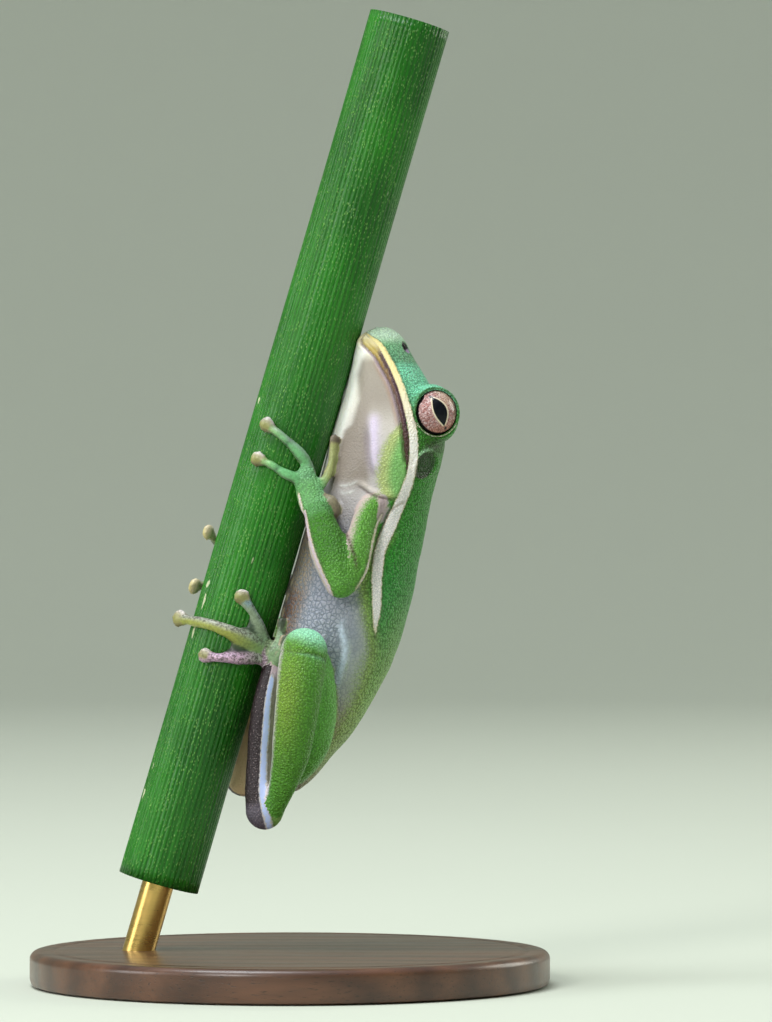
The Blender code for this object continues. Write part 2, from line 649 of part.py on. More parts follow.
def make_trunk(parts, scratch):
    """Head and torso, parted at the neck, and the eyes."""
    body = trunk("body", scratch)
    shape_head(body, scratch)
    keep_largest(body)
    belly, back = (Vector(to_world((*point, 0.0))) for point in NECK_CUT)
    forward = (back - belly).cross(Vector((0.0, 1.0, 0.0))).normalized()
    for name, direction in (("head", forward), ("torso", -forward)):
        node = bpy.data.objects.new(name, body.data.copy())
        parts.objects.link(node)
        cut_off(node, belly + direction * GAP / 2 * MM, direction)
    bpy.data.objects.remove(body, do_unlink=True)
    for word, centre, axis in zip(SIDES, both_sides(EYE_CENTRE), both_sides(EYE_AXIS)):
        eyeball(f"eye_{word}", centre, axis, EYE_RADIUS, parts)


def clear_of(node, guards):
    """Cuts a node clear of its neighbours, each grown by the gap."""
    for guard in guards:
        combine(node, [guard], "DIFFERENCE")
    keep_largest(node)


def make_arm(word, side, tables, parts, scratch):
    """Upper arm, forearm and hand. The forearm shows whole, so the others are cut clear of it."""
    upper, fore, palm, fingers = tables
    clear_of(
        limb(f"upper_arm_{word}", upper, parts, side),
        [trunk("guard", scratch, GAP), limb("guard", fore, scratch, side, grow=GAP)],
    )
    clear_of(limb(f"forearm_{word}", fore, parts, side), [trunk("guard", scratch, GAP)])
    hand = limb(f"hand_{word}", palm, parts, side, sides=PALM_SIDES)
    combine(hand, [digit(f"finger_{key}", rows, scratch, side) for key, rows in fingers.items()], "UNION")
    clear_of(hand, [trunk("guard", scratch, GAP), limb("guard", fore, scratch, side, grow=GAP)])


def make_leg(word, side, tables, parts, scratch):
    """Thigh, shank, tarsus and webbed foot. The shank shows whole, so the others are cut clear of it."""
    thigh, shank, tarsus, sole, toes = tables
    clear_of(
        limb(f"thigh_{word}", thigh, parts, side),
        [trunk("guard", scratch, GAP), limb("guard", shank, scratch, side, grow=GAP)],
    )
    clear_of(limb(f"shank_{word}", shank, parts, side), [trunk("guard", scratch, GAP)])
    guards = [trunk("guard", scratch, GAP)]
    guards += [limb("guard", rows, scratch, side, grow=GAP) for rows in (shank, thigh)]
    clear_of(limb(f"tarsus_{word}", tarsus, parts, side), guards)
    foot = limb(f"foot_{word}", sole, parts, side, sides=PALM_SIDES)
    pieces = [digit(f"toe_{key}", rows, scratch, side) for key, rows in toes.items()]
    for first, second, *reaches in WEBS:
        pieces.append(web(f"web_{first}", (toes[first], toes[second]), reaches, scratch, side))
    combine(foot, pieces, "UNION")
    guards = [trunk("guard", scratch, GAP)]
    guards += [limb("guard", rows, scratch, side, grow=GAP) for rows in (shank, tarsus)]
    clear_of(foot, guards)


def make_frog(parts):
    scratch = collection("scratch")
    make_trunk(parts, scratch)
    for word, (side, arm, leg) in SIDES.items():
        make_arm(word, side, arm, parts, scratch)
        make_leg(word, side, leg, parts, scratch)
    bpy.data.collections.remove(scratch)


def move_to(obj, name, group):
    obj.name = name
    for other in list(obj.users_collection):
        other.objects.unlink(obj)
    group.objects.link(obj)


def make_stem(name, radius, low, high, sides, parts):
    """A cylinder on the reed's axis between two heights u."""
    middle = to_world(((low + high) / 2, 0.0, 0.0))
    bpy.ops.mesh.primitive_cylinder_add(
        vertices=sides,
        radius=radius * MM,
        depth=(high - low) * MM,
        location=middle,
        rotation=(0.0, REED_LEAN, 0.0),
    )
    stem = bpy.context.active_object
    stem.data.transform(stem.matrix_world)
    stem.matrix_world = Matrix()
    move_to(stem, name, parts)
    return stem


def make_stand(parts):
    """A round base and a short rod that carries the reed."""
    bpy.ops.mesh.primitive_cylinder_add(
        vertices=BASE_SIDES,
        radius=BASE_RADIUS * MM,
        depth=BASE_THICKNESS * MM,
        location=(0, 0, BASE_THICKNESS / 2 * MM),
    )
    base = bpy.context.active_object
    move_to(base, "stand_base", parts)
    rim = base.modifiers.new("rounded_rim", "BEVEL")
    rim.width = BASE_ROUNDING * MM
    rim.segments = 1
    rim.limit_method = "ANGLE"
    rod_foot = (BASE_THICKNESS - FRAME_Z) / math.cos(REED_LEAN) - ROD_RADIUS
    rod = make_stem("stand_rod", ROD_RADIUS, rod_foot, REED_FOOT - GAP, ROD_SIDES, parts)
    cut_off(rod, Vector((0.0, 0.0, (BASE_THICKNESS + GAP) * MM)), Vector((0.0, 0.0, 1.0)))


def finish(parts):
    """Gives every node its material and smooth shading."""
    kinds = {"eye": "eye", "perch": "reed", "stand_base": "wood", "stand_rod": "brass"}
    for obj in parts.objects:
        kind = next((kind for start, kind in kinds.items() if obj.name.startswith(start)), "skin")
        obj.data.materials.clear()
        obj.data.materials.append(material(kind))
        obj.data.shade_smooth()
        obj.data.set_sharp_from_angle(angle=math.radians(40))


def main():
    clear_scene()
    parts = collection("tree_frog_on_reed")
    make_stem("perch_reed", REED_RADIUS, REED_FOOT, REED_TOP, REED_SIDES, parts)
    make_frog(parts)
    make_stand(parts)
    finish(parts)


main()
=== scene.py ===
"""Green tree frog on a reed: the skin, eyes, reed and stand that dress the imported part.

The script builds in millimetres in the reed's own frame, where u runs up the reed, v out to the frog's
back and w to the frog's left, and places every mesh in metres in the part's frame.
"""

from __future__ import annotations

import logging
import math
from dataclasses import dataclass
from enum import Enum
from functools import reduce

import bmesh
import bpy
import numpy as np
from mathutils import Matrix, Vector


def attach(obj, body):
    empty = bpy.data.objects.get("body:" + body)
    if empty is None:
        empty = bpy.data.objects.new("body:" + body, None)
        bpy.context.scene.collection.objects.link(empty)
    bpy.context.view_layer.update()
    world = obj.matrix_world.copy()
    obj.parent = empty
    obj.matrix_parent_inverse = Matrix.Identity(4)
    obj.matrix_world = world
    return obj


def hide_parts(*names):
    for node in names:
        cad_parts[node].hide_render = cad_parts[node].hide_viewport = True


LOG = logging.getLogger("tree_frog")
ROOT = "root"
Array = np.ndarray
Rows = tuple[tuple[float, ...], ...]
Scale = tuple[tuple[float, str], ...]
Colour = tuple[float, float, float]
Socket = bpy.types.NodeSocket
Value = Socket | float

# A millimetre in metres.
MM = 0.001
# How far forms reach past the reed's surface, negative into it, before the skin is laid on it.
INTO_REED = -0.05
# The distance given to points out of a tube's reach, in millimetres.
FAR = 99.0
# The border distance where a marking is absent, in millimetres.
ABSENT = -9.0
# Half depths of a digit and of its disc, and the least distance of a digit from the reed's middle plane.
DIGIT_DEPTH = 0.6
DISC_DEPTH = 0.45
DIGIT_ASIDE = 1.2


class Side(Enum):
    """A side of the frog; the value is the sign of w there."""

    LEFT = 1
    RIGHT = -1


class Kind(Enum):
    """What a stretch of skin covers, which decides its markings."""

    TRUNK = 0
    UPPER_ARM = 1
    FOREARM = 2
    PALM = 3
    FINGER = 4
    THIGH = 5
    SHANK = 6
    TARSUS = 7
    SOLE = 8
    TOE = 9


def unit(vectors: Array) -> Array:
    """Vectors scaled to length one."""
    vectors = np.asarray(vectors, float)
    return vectors / np.maximum(np.linalg.norm(vectors, axis=-1, keepdims=True), 1e-12)


def ease(low: float, high: float, value: Array) -> Array:
    """Rises smoothly from 0 at low to 1 at high, as 3t^2 - 2t^3."""
    t = np.clip((np.asarray(value, float) - low) / (high - low), 0.0, 1.0)
    return t * t * (3.0 - 2.0 * t)


def bump(value: Array, width: float) -> Array:
    """A bell of height 1 at value 0, as exp(-(value / width)^2)."""
    return np.exp(-((np.asarray(value, float) / width) ** 2))


def circle(count: int) -> Array:
    """Angles spaced evenly round a full turn."""
    return np.linspace(0, 2 * math.pi, count, endpoint=False)


def spline(rows: Rows | Array, steps: int) -> Array:
    """A Catmull-Rom curve through the rows of a table.

    Args:
        rows: the table, one row for each knot.
        steps: pieces made between two rows.

    Returns:
        The dense rows, with the knots among them.
    """
    rows = np.asarray(rows, float)
    ends = np.vstack((2 * rows[0] - rows[1], rows, 2 * rows[-1] - rows[-2]))
    places = np.linspace(0, len(rows) - 1, (len(rows) - 1) * steps + 1)
    first = np.minimum(places.astype(int), len(rows) - 2)
    t = (places - first)[:, None]
    a, b, c, d = (ends[first + k] for k in range(4))
    return 0.5 * (2 * b + (c - a) * t + (2 * a - 5 * b + 4 * c - d) * t**2 + (3 * b - a - 3 * c + d) * t**3)


def ripple(points: Array, length: float, seed: int) -> Array:
    """A smooth wobble between about -1 and 1: the sum of nine sine waves in seeded directions, by 4.

    Args:
        points: places in millimetres, one row each.
        length: mean wave length in millimetres.
        seed: picks the directions and phases.

    Returns:
        One value for each place.
    """
    rng = np.random.default_rng(seed)
    ways = unit(rng.normal(size=(9, 3))) * (2 * math.pi / length) * rng.uniform(0.6, 1.5, (9, 1))
    return np.sin(points @ ways.T + rng.uniform(0, 2 * math.pi, 9)).sum(1) / 4.0


@dataclass(frozen=True)
class Shell:
    """A closed surface: points, and faces of four and of three corners."""

    points: Array
    quads: Array
    triangles: Array

    def mesh(self, name: str, scale: float = 1.0) -> bpy.types.Mesh:
        """The surface as a mesh."""
        return build_mesh(name, self.points * scale, [self.quads, self.triangles])

    def world_mesh(self, name: str) -> bpy.types.Mesh:
        """The surface, given in the reed's frame, as a mesh in the part's frame."""
        return build_mesh(name, FRAME.to_world(self.points), [self.quads, self.triangles])

    def flipped(self) -> Shell:
        """The surface with its faces turned over."""
        return Shell(self.points, self.quads[:, ::-1], self.triangles[:, ::-1])

    def on_side(self, side: Side) -> Shell:
        """A surface given for the frog's left, on either side of it."""
        moved = Shell(self.points * (1.0, 1.0, side.value), self.quads, self.triangles)
        return moved if side is Side.LEFT else moved.flipped()


def build_mesh(name: str, points: Array, faces: list[Array]) -> bpy.types.Mesh:
    """Puts whole arrays of points and faces into a new mesh.

    Args:
        name: the mesh's name.
        points: one row of x, y, z for each point.
        faces: arrays of corner numbers, each array with one count of corners.

    Returns:
        The mesh, shaded smooth.
    """
    faces = [np.asarray(block, int) for block in faces if len(block)]
    corners = np.concatenate([block.ravel() for block in faces])
    totals = np.concatenate([np.full(len(block), block.shape[1]) for block in faces])
    mesh = bpy.data.meshes.new(name)
    mesh.vertices.add(len(points))
    mesh.loops.add(len(corners))
    mesh.loops.foreach_set("vertex_index", corners.astype(np.int32))
    mesh.polygons.add(len(totals))
    mesh.polygons.foreach_set("loop_start", np.concatenate(([0], np.cumsum(totals)[:-1])).astype(np.int32))
    mesh.vertices.foreach_set("co", np.ascontiguousarray(points, dtype=np.float32).ravel())
    mesh.update(calc_edges=True)
    mesh.validate()
    mesh.shade_smooth()
    return mesh


def joined(shells: list[Shell]) -> Shell:
    """Several surfaces as one.

    Args:
        shells: the surfaces.

    Returns:
        One surface of all their points and faces.
    """
    starts = np.cumsum([0] + [len(shell.points) for shell in shells[:-1]])
    quads, triangles = (
        np.vstack([getattr(shell, field) + start for shell, start in zip(shells, starts)])
        for field in ("quads", "triangles")
    )
    return Shell(np.vstack([shell.points for shell in shells]), quads, triangles)


def loft(rings: Array, first_tip: Array, last_tip: Array) -> Shell:
    """A closed skin over a grid of rings: quads between two rings, a fan of triangles to each tip.

    Args:
        rings: points by ring and place round it.
        first_tip: closes the first ring.
        last_tip: closes the last ring.

    Returns:
        The surface.
    """
    count, sides = rings.shape[:2]
    j = np.arange(sides)
    k = (j + 1) % sides
    row = (np.arange(count - 1) * sides)[:, None]
    quads = np.stack((row + j, row + sides + j, row + sides + k, row + k), axis=-1).reshape(-1, 4)
    end = (count - 1) * sides
    tip = np.full(sides, count * sides)
    fans = np.vstack((np.column_stack((j, k, tip)), np.column_stack((end + k, end + j, tip + 1))))
    return Shell(np.vstack((rings.reshape(-1, 3), first_tip, last_tip)), quads, fans)


def turned(profile: list[tuple[float, float]], sides: int, first: float, last: float) -> Shell:
    """A profile turned about the upright axis: x is radius times cosine, y radius times sine, z the height.

    Args:
        profile: radius and height of each ring.
        sides: points round a ring.
        first: height of the middle of the first ring's cap.
        last: height of the middle of the last ring's cap.

    Returns:
        The surface.
    """
    turn = circle(sides)
    rings = [np.column_stack((r * np.cos(turn), r * np.sin(turn), np.full(sides, z))) for r, z in profile]
    return loft(np.array(rings), *(np.array((0.0, 0.0, height)) for height in (first, last)))


def mesh_array(mesh: bpy.types.Mesh, normals: bool = False) -> Array:
    """A mesh's points, or the normals at them, as one array.

    Args:
        mesh: the mesh.
        normals: asks for the normals.

    Returns:
        A row of x, y, z for each point.
    """
    values = np.empty(len(mesh.vertices) * 3, np.float32)
    if normals:
        mesh.vertex_normals.foreach_get("vector", values)
    else:
        mesh.vertices.foreach_get("co", values)
    return values.reshape(-1, 3).astype(float)


def place_points(mesh: bpy.types.Mesh, points: Array) -> None:
    """Moves all points of a mesh."""
    mesh.vertices.foreach_set("co", np.ascontiguousarray(points, dtype=np.float32).ravel())
    mesh.update()


def store(mesh: bpy.types.Mesh, values: dict[str, Array]) -> None:
    """Keeps numbers, or linear colours, for each point of a mesh.

    Args:
        mesh: receives an attribute for each name.
        values: a number for each point, or a row of three parts of a colour.
    """
    for name, value in values.items():
        kind, entry = ("FLOAT", "value") if value.ndim == 1 else ("FLOAT_COLOR", "color")
        if value.ndim == 2:
            value = np.column_stack((value, np.ones(len(value))))
        layer = mesh.attributes.new(name, kind, "POINT")
        layer.data.foreach_set(entry, np.ascontiguousarray(value, dtype=np.float32).ravel())


def store_uv(mesh: bpy.types.Mesh, name: str, values: Array) -> None:
    """Keeps a UV map from one pair of numbers for each point.

    Args:
        mesh: receives the map.
        name: the map's name.
        values: a pair for each point.
    """
    corners = np.empty(len(mesh.loops), np.int32)
    mesh.loops.foreach_get("vertex_index", corners)
    layer = mesh.uv_layers.new(name=name)
    layer.uv.foreach_set("vector", np.ascontiguousarray(values[corners], dtype=np.float32).ravel())


def fix_normals(mesh: bpy.types.Mesh) -> None:
    """Turns all faces of a closed mesh outwards.

    Args:
        mesh: the mesh, changed in place.
    """
    shell = bmesh.new()
    shell.from_mesh(mesh)
    bmesh.ops.recalc_face_normals(shell, faces=shell.faces)
    shell.to_mesh(mesh)
    shell.free()


def link(name: str, data: bpy.types.ID) -> bpy.types.Object:
    """Adds an object to the scene.

    Args:
        name: the object's name.
        data: what it shows.

    Returns:
        The object.
    """
    obj = bpy.data.objects.new(name, data)
    bpy.context.scene.collection.objects.link(obj)
    return obj


def piece(name: str, mesh: bpy.types.Mesh, finish: bpy.types.Material, slot: str, *nodes: str) -> None:
    """Links a finished mesh as a piece of the part's only body.

    Args:
        name: the piece's name.
        mesh: its mesh.
        finish: its material.
        slot: not used.
        nodes: the part's nodes that it replaces.
    """
    mesh.materials.clear()
    mesh.materials.append(finish)
    obj = link(name, mesh)
    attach(obj, ROOT)
    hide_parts(*nodes)
    LOG.info("%s: %d faces", name, len(mesh.polygons))


@dataclass(frozen=True)
class ReedFrame:
    """The reed's frame in the part's frame: its lean, and the place where u and v are zero."""

    lean: float = math.radians(16.26)
    x: float = -4.91
    z: float = 38.5
    radius: float = 4.1

    def to_world(self, points: Array) -> Array:
        """Points in millimetres of the reed's frame, in metres of the part's frame.

        Args:
            points: rows of u, v, w.

        Returns:
            Rows of x, y, z.
        """
        u, v, w = np.moveaxis(np.asarray(points, float), -1, 0)
        x = self.x + u * math.sin(self.lean) + v * math.cos(self.lean)
        z = self.z + u * math.cos(self.lean) - v * math.sin(self.lean)
        return np.stack((x, -w, z), axis=-1) * MM

    def side_view(self, points: Array) -> tuple[Array, Array]:
        """How far across and up the points lie for a viewer of the frog's left side, in millimetres."""
        placed = self.to_world(points) / MM
        return placed[:, 0], placed[:, 2]

    def clear(self, points: Array, gap: float) -> Array:
        """Moves points that lie in the reed straight out to its surface, plus a gap.

        Args:
            points: rows of u, v, w.
            gap: millimetres kept from the surface.

        Returns:
            The moved points.
        """
        distance = np.hypot(points[:, 1], points[:, 2])
        scale = np.maximum(1.0, (self.radius + gap) / np.maximum(distance, 0.3))
        return points * np.column_stack((np.ones(len(points)), scale, scale))


FRAME = ReedFrame()


@dataclass(frozen=True)
class Place:
    """Where points lie on a tube: distance from its skin, share along, and across and out, 1 at the skin."""

    distance: Array
    along: Array
    across: Array
    out: Array


@dataclass(frozen=True)
class Tube:
    """A round-ended form through cross-sections of u, v, w, half width and half depth."""

    kind: Kind
    side: Side
    rows: Rows | Array
    facing_reed: bool = False
    order: int = 0

    def path(self, steps: int) -> tuple[Array, Array, Array, Array, Array, Array]:
        """The cross-sections of the left side, closely spaced.

        Args:
            steps: sections made from one row to the next.

        Returns:
            Centres, directions along, across and out, half widths and half depths.
        """
        rows = spline(self.rows, steps)
        centre = rows[:, :3]
        along = unit(np.gradient(centre, axis=0))
        outward = centre * (0.0, 1.0, 1.0) if self.facing_reed else np.array((0.0, 0.0, 1.0))
        out = unit(outward - (outward * along).sum(1, keepdims=True) * along)
        return centre, along, np.cross(along, out), out, rows[:, 3], rows[:, 4]

    def shell(self) -> Shell:
        """Ellipses about the path, closed by rounded caps: cosine and sine of the turn by width and depth.

        Returns:
            The closed surface, kept out of the reed.
        """
        centre, along, across, out, width, depth = self.path(4)
        cap = np.radians((75.0, 60.0, 45.0, 30.0, 15.0))
        count = len(centre)
        index = np.concatenate(([0] * len(cap), np.arange(count), [-1] * len(cap)))
        shrink = np.concatenate((np.cos(cap), np.ones(count), np.cos(cap[::-1])))
        reach = np.concatenate((-np.sin(cap), np.zeros(count), np.sin(cap[::-1])))
        middle = centre[index] + along[index] * (reach * width[index])[:, None]
        angle = circle(24 if self.facing_reed else 36)[None, :, None]
        wide = (across[index] * (width[index] * shrink)[:, None])[:, None] * np.cos(angle)
        deep = (out[index] * (depth[index] * shrink)[:, None])[:, None] * np.sin(angle)
        tips = (centre[0] - along[0] * width[0], centre[-1] + along[-1] * width[-1])
        made = loft(middle[:, None] + wide + deep, *tips)
        return Shell(FRAME.clear(made.points, INTO_REED), made.quads, made.triangles).on_side(self.side)

    def locate(self, points: Array) -> Place:
        """Finds each point's nearest cross-section and its place in it.

        Args:
            points: places in the reed's frame.

        Returns:
            The places, with the distance FAR where a point is out of reach.
        """
        centre, along, across, out, width, depth = self.path(4)
        points = points * (1.0, 1.0, self.side.value)
        reach = width.max() + 2.5
        inside = (points > centre.min(0) - reach) & (points < centre.max(0) + reach)
        near = np.flatnonzero(np.all(inside, axis=1))
        offset = points[near][:, None] - centre[None]
        a = (offset * across).sum(-1) / width
        b = (offset * out).sum(-1) / depth
        c = (offset * along).sum(-1)
        size = np.sqrt(a**2 + b**2 + (c / width) ** 2)
        best = size.argmin(1)
        row = np.arange(len(near))
        step = np.linalg.norm(np.diff(centre, axis=0), axis=1).mean()
        share = (best + np.clip(c[row, best] / step, -0.5, 0.5)) / (len(centre) - 1)
        full = [np.full(len(points), value) for value in (FAR, 0.0, 0.0, 0.0)]
        found = ((size[row, best] - 1) * np.minimum(width, depth)[best], share, a[row, best], b[row, best])
        for target, values in zip(full, found):
            target[near] = values
        return Place(*full)


def digit_rows(rows: Rows) -> Array:
    """Sections of a digit, with a neck before the round disc at its end.

    Args:
        rows: u, v and half width of one that lies on the reed, or u, v, w and half width of a free one.

    Returns:
        Rows of u, v, w, half width and half depth.
    """
    table = np.asarray(rows, float)
    width = table[:, -1]
    depth = np.minimum(width, DIGIT_DEPTH)
    depth[-1] = min(DISC_DEPTH, width[-1])
    w = table[:, 2]
    if table.shape[1] == 3:
        w = np.sqrt(np.maximum((FRAME.radius + depth) ** 2 - table[:, 1] ** 2, DIGIT_ASIDE**2))
    sections = np.column_stack((table[:, 0], table[:, 1], w, width, depth))
    disc, joint = sections[-1], sections[-2]
    back = unit(joint[:3] - disc[:3]) * disc[3]
    neck = (*disc[:3] + 0.95 * back, *joint[3:])
    swell = (*disc[:3] + 0.5 * back, *0.87 * disc[3:])
    return np.vstack((sections[:-1], neck, swell, disc))


@dataclass(frozen=True)
class Limb:
    """An arm or a leg: sections of each part, each digit's line, and the webs between digits.

    A web is given by two digits and the share of each one's length that it reaches.
    """

    side: Side
    parts: tuple[tuple[Kind, Rows], ...]
    digit: Kind
    digits: tuple[Rows, ...]
    webs: tuple[tuple[int, int, float, float], ...] = ()
    web_thickness: float = 0.5
    web_scoop: float = 0.2

    def tubes(self) -> list[Tube]:
        """Every round form of the limb.

        Returns:
            The tubes, digits last.
        """
        forms = [Tube(kind, self.side, rows) for kind, rows in self.parts]
        for order, rows in enumerate(self.digits, 1):
            forms.append(Tube(self.digit, self.side, digit_rows(rows), True, order))
        return forms

    def web(self, first: int, second: int, *reaches: float) -> Shell:
        """A membrane: straight lines from digit to digit, bent round the reed, its edge hollow by a sine.

        Args:
            first: one digit's number, from 0.
            second: the other's.
            reaches: the share of each one's length that the membrane reaches.

        Returns:
            The surface.
        """
        edges = []
        for digit, reach in zip((first, second), reaches):
            line = spline(digit_rows(self.digits[digit])[:-2, :3], 8)
            edges.append(line[: int(len(line) * reach)])
        share = np.linspace(0, 1, 11)
        rings = []
        for t in np.linspace(0, 1, 15):
            place = t * (1 - self.web_scoop * np.sin(math.pi * share) * t)
            ends = [
                np.column_stack([np.interp(place * (len(e) - 1), range(len(e)), e[:, k]) for k in range(3)])
                for e in edges
            ]
            line = ends[0] * (1 - share)[:, None] + ends[1] * share[:, None]
            outward = unit(line * (0.0, 1.0, 1.0))
            inner = outward * FRAME.radius + line * (1.0, 0.0, 0.0)
            rings.append(np.vstack((inner, (inner + outward * self.web_thickness)[::-1])))
        rings = np.array(rings)
        return loft(rings, rings[0].mean(0), rings[-1].mean(0)).on_side(self.side)


def linear(code: str) -> Colour:
    """A colour written as six hex digits of a display colour, as linear light."""
    parts = [int(code[k : k + 2], 16) / 255 for k in (0, 2, 4)]
    return tuple(p / 12.92 if p <= 0.04045 else ((p + 0.055) / 1.055) ** 2.4 for p in parts)


class Graph:
    """Puts nodes into the tree of a material or a group, and links them."""

    def __init__(self, tree: bpy.types.NodeTree) -> None:
        """Starts on a node tree."""
        self.tree = tree

    def fill(self, node: bpy.types.Node, inputs: dict) -> bpy.types.Node:
        """Gives inputs of a node, by name or number, a socket to follow or a value, and returns the node.

        Args:
            node: the node.
            inputs: a socket or a value for each input.

        Returns:
            The node.
        """
        for key, value in inputs.items():
            if isinstance(value, Socket):
                self.tree.links.new(value, node.inputs[key])
            else:
                node.inputs[key].default_value = value
        return node

    def add(self, kind: str, inputs: dict | None = None, **settings: object) -> bpy.types.Node:
        """Adds a node.

        Args:
            kind: the node's type, without "ShaderNode".
            inputs: a value or a socket for each input, by name or number.
            settings: the node's own properties.

        Returns:
            The node.
        """
        node = self.tree.nodes.new("ShaderNode" + kind)
        for name, value in settings.items():
            setattr(node, name, value)
        return self.fill(node, inputs or {})

    def math(self, operation: str, *values: Value) -> Socket:
        """A Math node's result."""
        return self.add("Math", dict(enumerate(values)), operation=operation).outputs[0]

    def times(self, *values: Value) -> Socket:
        """The product of values."""
        return reduce(lambda first, second: self.math("MULTIPLY", first, second), values)

    def plus(self, *values: Value) -> Socket:
        """The sum of values."""
        return reduce(lambda first, second: self.math("ADD", first, second), values)

    def less(self, value: Value, taken: Value) -> Socket:
        """One value less another."""
        return self.math("SUBTRACT", value, taken)

    def squares(self, first: Socket, second: Socket) -> Socket:
        """The sum of two squares."""
        return self.plus(self.times(first, first), self.times(second, second))

    def span(
        self, value: Value, low: float, high: float, to_low: float = 0.0, to_high: float = 1.0
    ) -> Socket:
        """A value taken smoothly from one range to another.

        Args:
            value: the value.
            low: where the first range starts.
            high: where it ends.
            to_low: what it becomes at low.
            to_high: what it becomes at high.

        Returns:
            The new value.
        """
        inputs = {"Value": value, "From Min": low, "From Max": high, "To Min": to_low, "To Max": to_high}
        return self.add("MapRange", inputs, interpolation_type="SMOOTHSTEP").outputs[0]

    def mix(self, factor: Value, *colours: Socket | Colour | str, blend: str = "MIX") -> Socket:
        """A mix of two colours.

        Args:
            factor: the second colour's share.
            colours: two of a socket, a linear colour or six hex digits.
            blend: the Mix node's blend type.

        Returns:
            The mixed colour.
        """
        inputs = {0: factor}
        for key, colour in zip((6, 7), colours):
            colour = linear(colour) if isinstance(colour, str) else colour
            inputs[key] = colour if isinstance(colour, Socket) else (*colour, 1.0)
        return self.add("Mix", inputs, data_type="RGBA", blend_type=blend).outputs[2]

    def noise(
        self, scale: Value, detail: float = 3.0, vector: Socket | None = None, roughness: float = 0.55
    ) -> Socket:
        """Fine noise.

        Args:
            scale: how fine it is.
            detail: its octaves.
            vector: where it is read, in place of Object coordinates.
            roughness: the share of its fine octaves.

        Returns:
            The noise, 0 to 1.
        """
        inputs = {"Vector": vector or self.object_place(), "Scale": scale}
        return self.add("TexNoise", {**inputs, "Detail": detail, "Roughness": roughness}).outputs[0]

    def cells(
        self, scale: Value, edge: bool = False, vector: Socket | None = None, randomness: float = 1.0
    ) -> Socket:
        """Distances in a pattern of cells.

        Args:
            scale: how small the cells are.
            edge: measures from the cells' edges and not from their middles.
            vector: where the cells are read, in place of Object coordinates.
            randomness: how uneven they are.

        Returns:
            The distance.
        """
        inputs = {"Vector": vector or self.object_place(), "Scale": scale, "Randomness": randomness}
        feature = "DISTANCE_TO_EDGE" if edge else "F1"
        return self.add("TexVoronoi", inputs, feature=feature).outputs["Distance"]

    def grey(self, value: Value) -> Socket:
        """A colour whose three parts are the value."""
        return self.add("CombineColor", dict.fromkeys(range(3), value)).outputs[0]

    def object_place(self) -> Socket:
        """Object coordinates."""
        return self.add("TexCoord").outputs["Object"]

    def mapped(self, vector: Socket, **inputs: tuple[float, float, float]) -> Socket:
        """A vector through a Mapping node with a Rotation or a Scale."""
        return self.add("Mapping", {"Vector": vector, **inputs}).outputs[0]

    def attribute(self, name: str, output: str = "Fac") -> Socket:
        """A value or colour kept at the mesh's points."""
        return self.add("Attribute", attribute_name=name).outputs[output]

    def uneven(self, vector: Socket, coarse: float, fine: float, amount: float) -> tuple[Socket, Socket]:
        """Tone and raw value of slow and fine unevenness, from the group.

        Args:
            vector: where it is read.
            coarse: scale of the slow part.
            fine: scale of the fine part.
            amount: how far the tone swings.

        Returns:
            The tone, about 1, and the value, 0 to 1.
        """
        inputs = {"Vector": vector, "Coarse": coarse, "Fine": fine, "Amount": amount}
        node = self.add("Group", inputs, node_tree=UNEVEN)
        return node.outputs["Tone"], node.outputs["Value"]

    def relief(
        self, height: Socket, depth_mm: float, strength: float = 1.0, normal: Socket | None = None
    ) -> Socket:
        """A normal from a height.

        Args:
            height: the height, 0 to 1.
            depth_mm: the millimetres that a height of 1 stands for.
            strength: the share of the relief that shows.
            normal: the relief under this one.

        Returns:
            The normal.
        """
        inputs = {"Height": height, "Distance": depth_mm * MM, "Strength": strength}
        if normal is not None:
            inputs["Normal"] = normal
        return self.add("Bump", inputs).outputs[0]


def new_material(name: str) -> tuple[bpy.types.Material, Graph, bpy.types.Node]:
    """A material, its graph and its Principled shader.

    Args:
        name: the material's name.

    Returns:
        The three of them.
    """
    made = bpy.data.materials.new(name)
    made.use_nodes = True
    return made, Graph(made.node_tree), made.node_tree.nodes["Principled BSDF"]


def start_group(
    name: str, inputs: dict[str, float], outputs: tuple[str, ...]
) -> tuple[Graph, bpy.types.Node, bpy.types.Node]:
    """A node group with a vector input, and number inputs and outputs.

    Args:
        name: the group's name.
        inputs: each number input and its own value.
        outputs: the number outputs.

    Returns:
        The group's graph, its input node and its output node.
    """
    tree = bpy.data.node_groups.new(name, "ShaderNodeTree")
    tree.interface.new_socket("Vector", in_out="INPUT", socket_type="NodeSocketVector")
    for key, value in inputs.items():
        tree.interface.new_socket(key, in_out="INPUT", socket_type="NodeSocketFloat").default_value = value
    for key in outputs:
        tree.interface.new_socket(key, in_out="OUTPUT", socket_type="NodeSocketFloat")
    return Graph(tree), tree.nodes.new("NodeGroupInput"), tree.nodes.new("NodeGroupOutput")


def uneven_group() -> bpy.types.NodeTree:
    """Group: slow and fine unevenness. Tone runs about 1 by Amount; Value is the raw mix, 0 to 1.

    Returns:
        The group's tree.
    """
    inputs = {"Coarse": 200, "Fine": 1500, "Amount": 0.2}
    graph, given, result = start_group("uneven", inputs, ("Tone", "Value"))
    slow = graph.noise(given.outputs["Coarse"], 2.0, given.outputs["Vector"])
    fine = graph.noise(given.outputs["Fine"], 4.0, given.outputs["Vector"])
    value = graph.plus(graph.times(slow, 0.55), graph.times(fine, 0.45))
    swing = graph.times(graph.less(value, 0.5), given.outputs["Amount"])
    graph.fill(result, {"Tone": graph.plus(1.0, graph.times(swing, 2.0)), "Value": value})
    return graph.tree


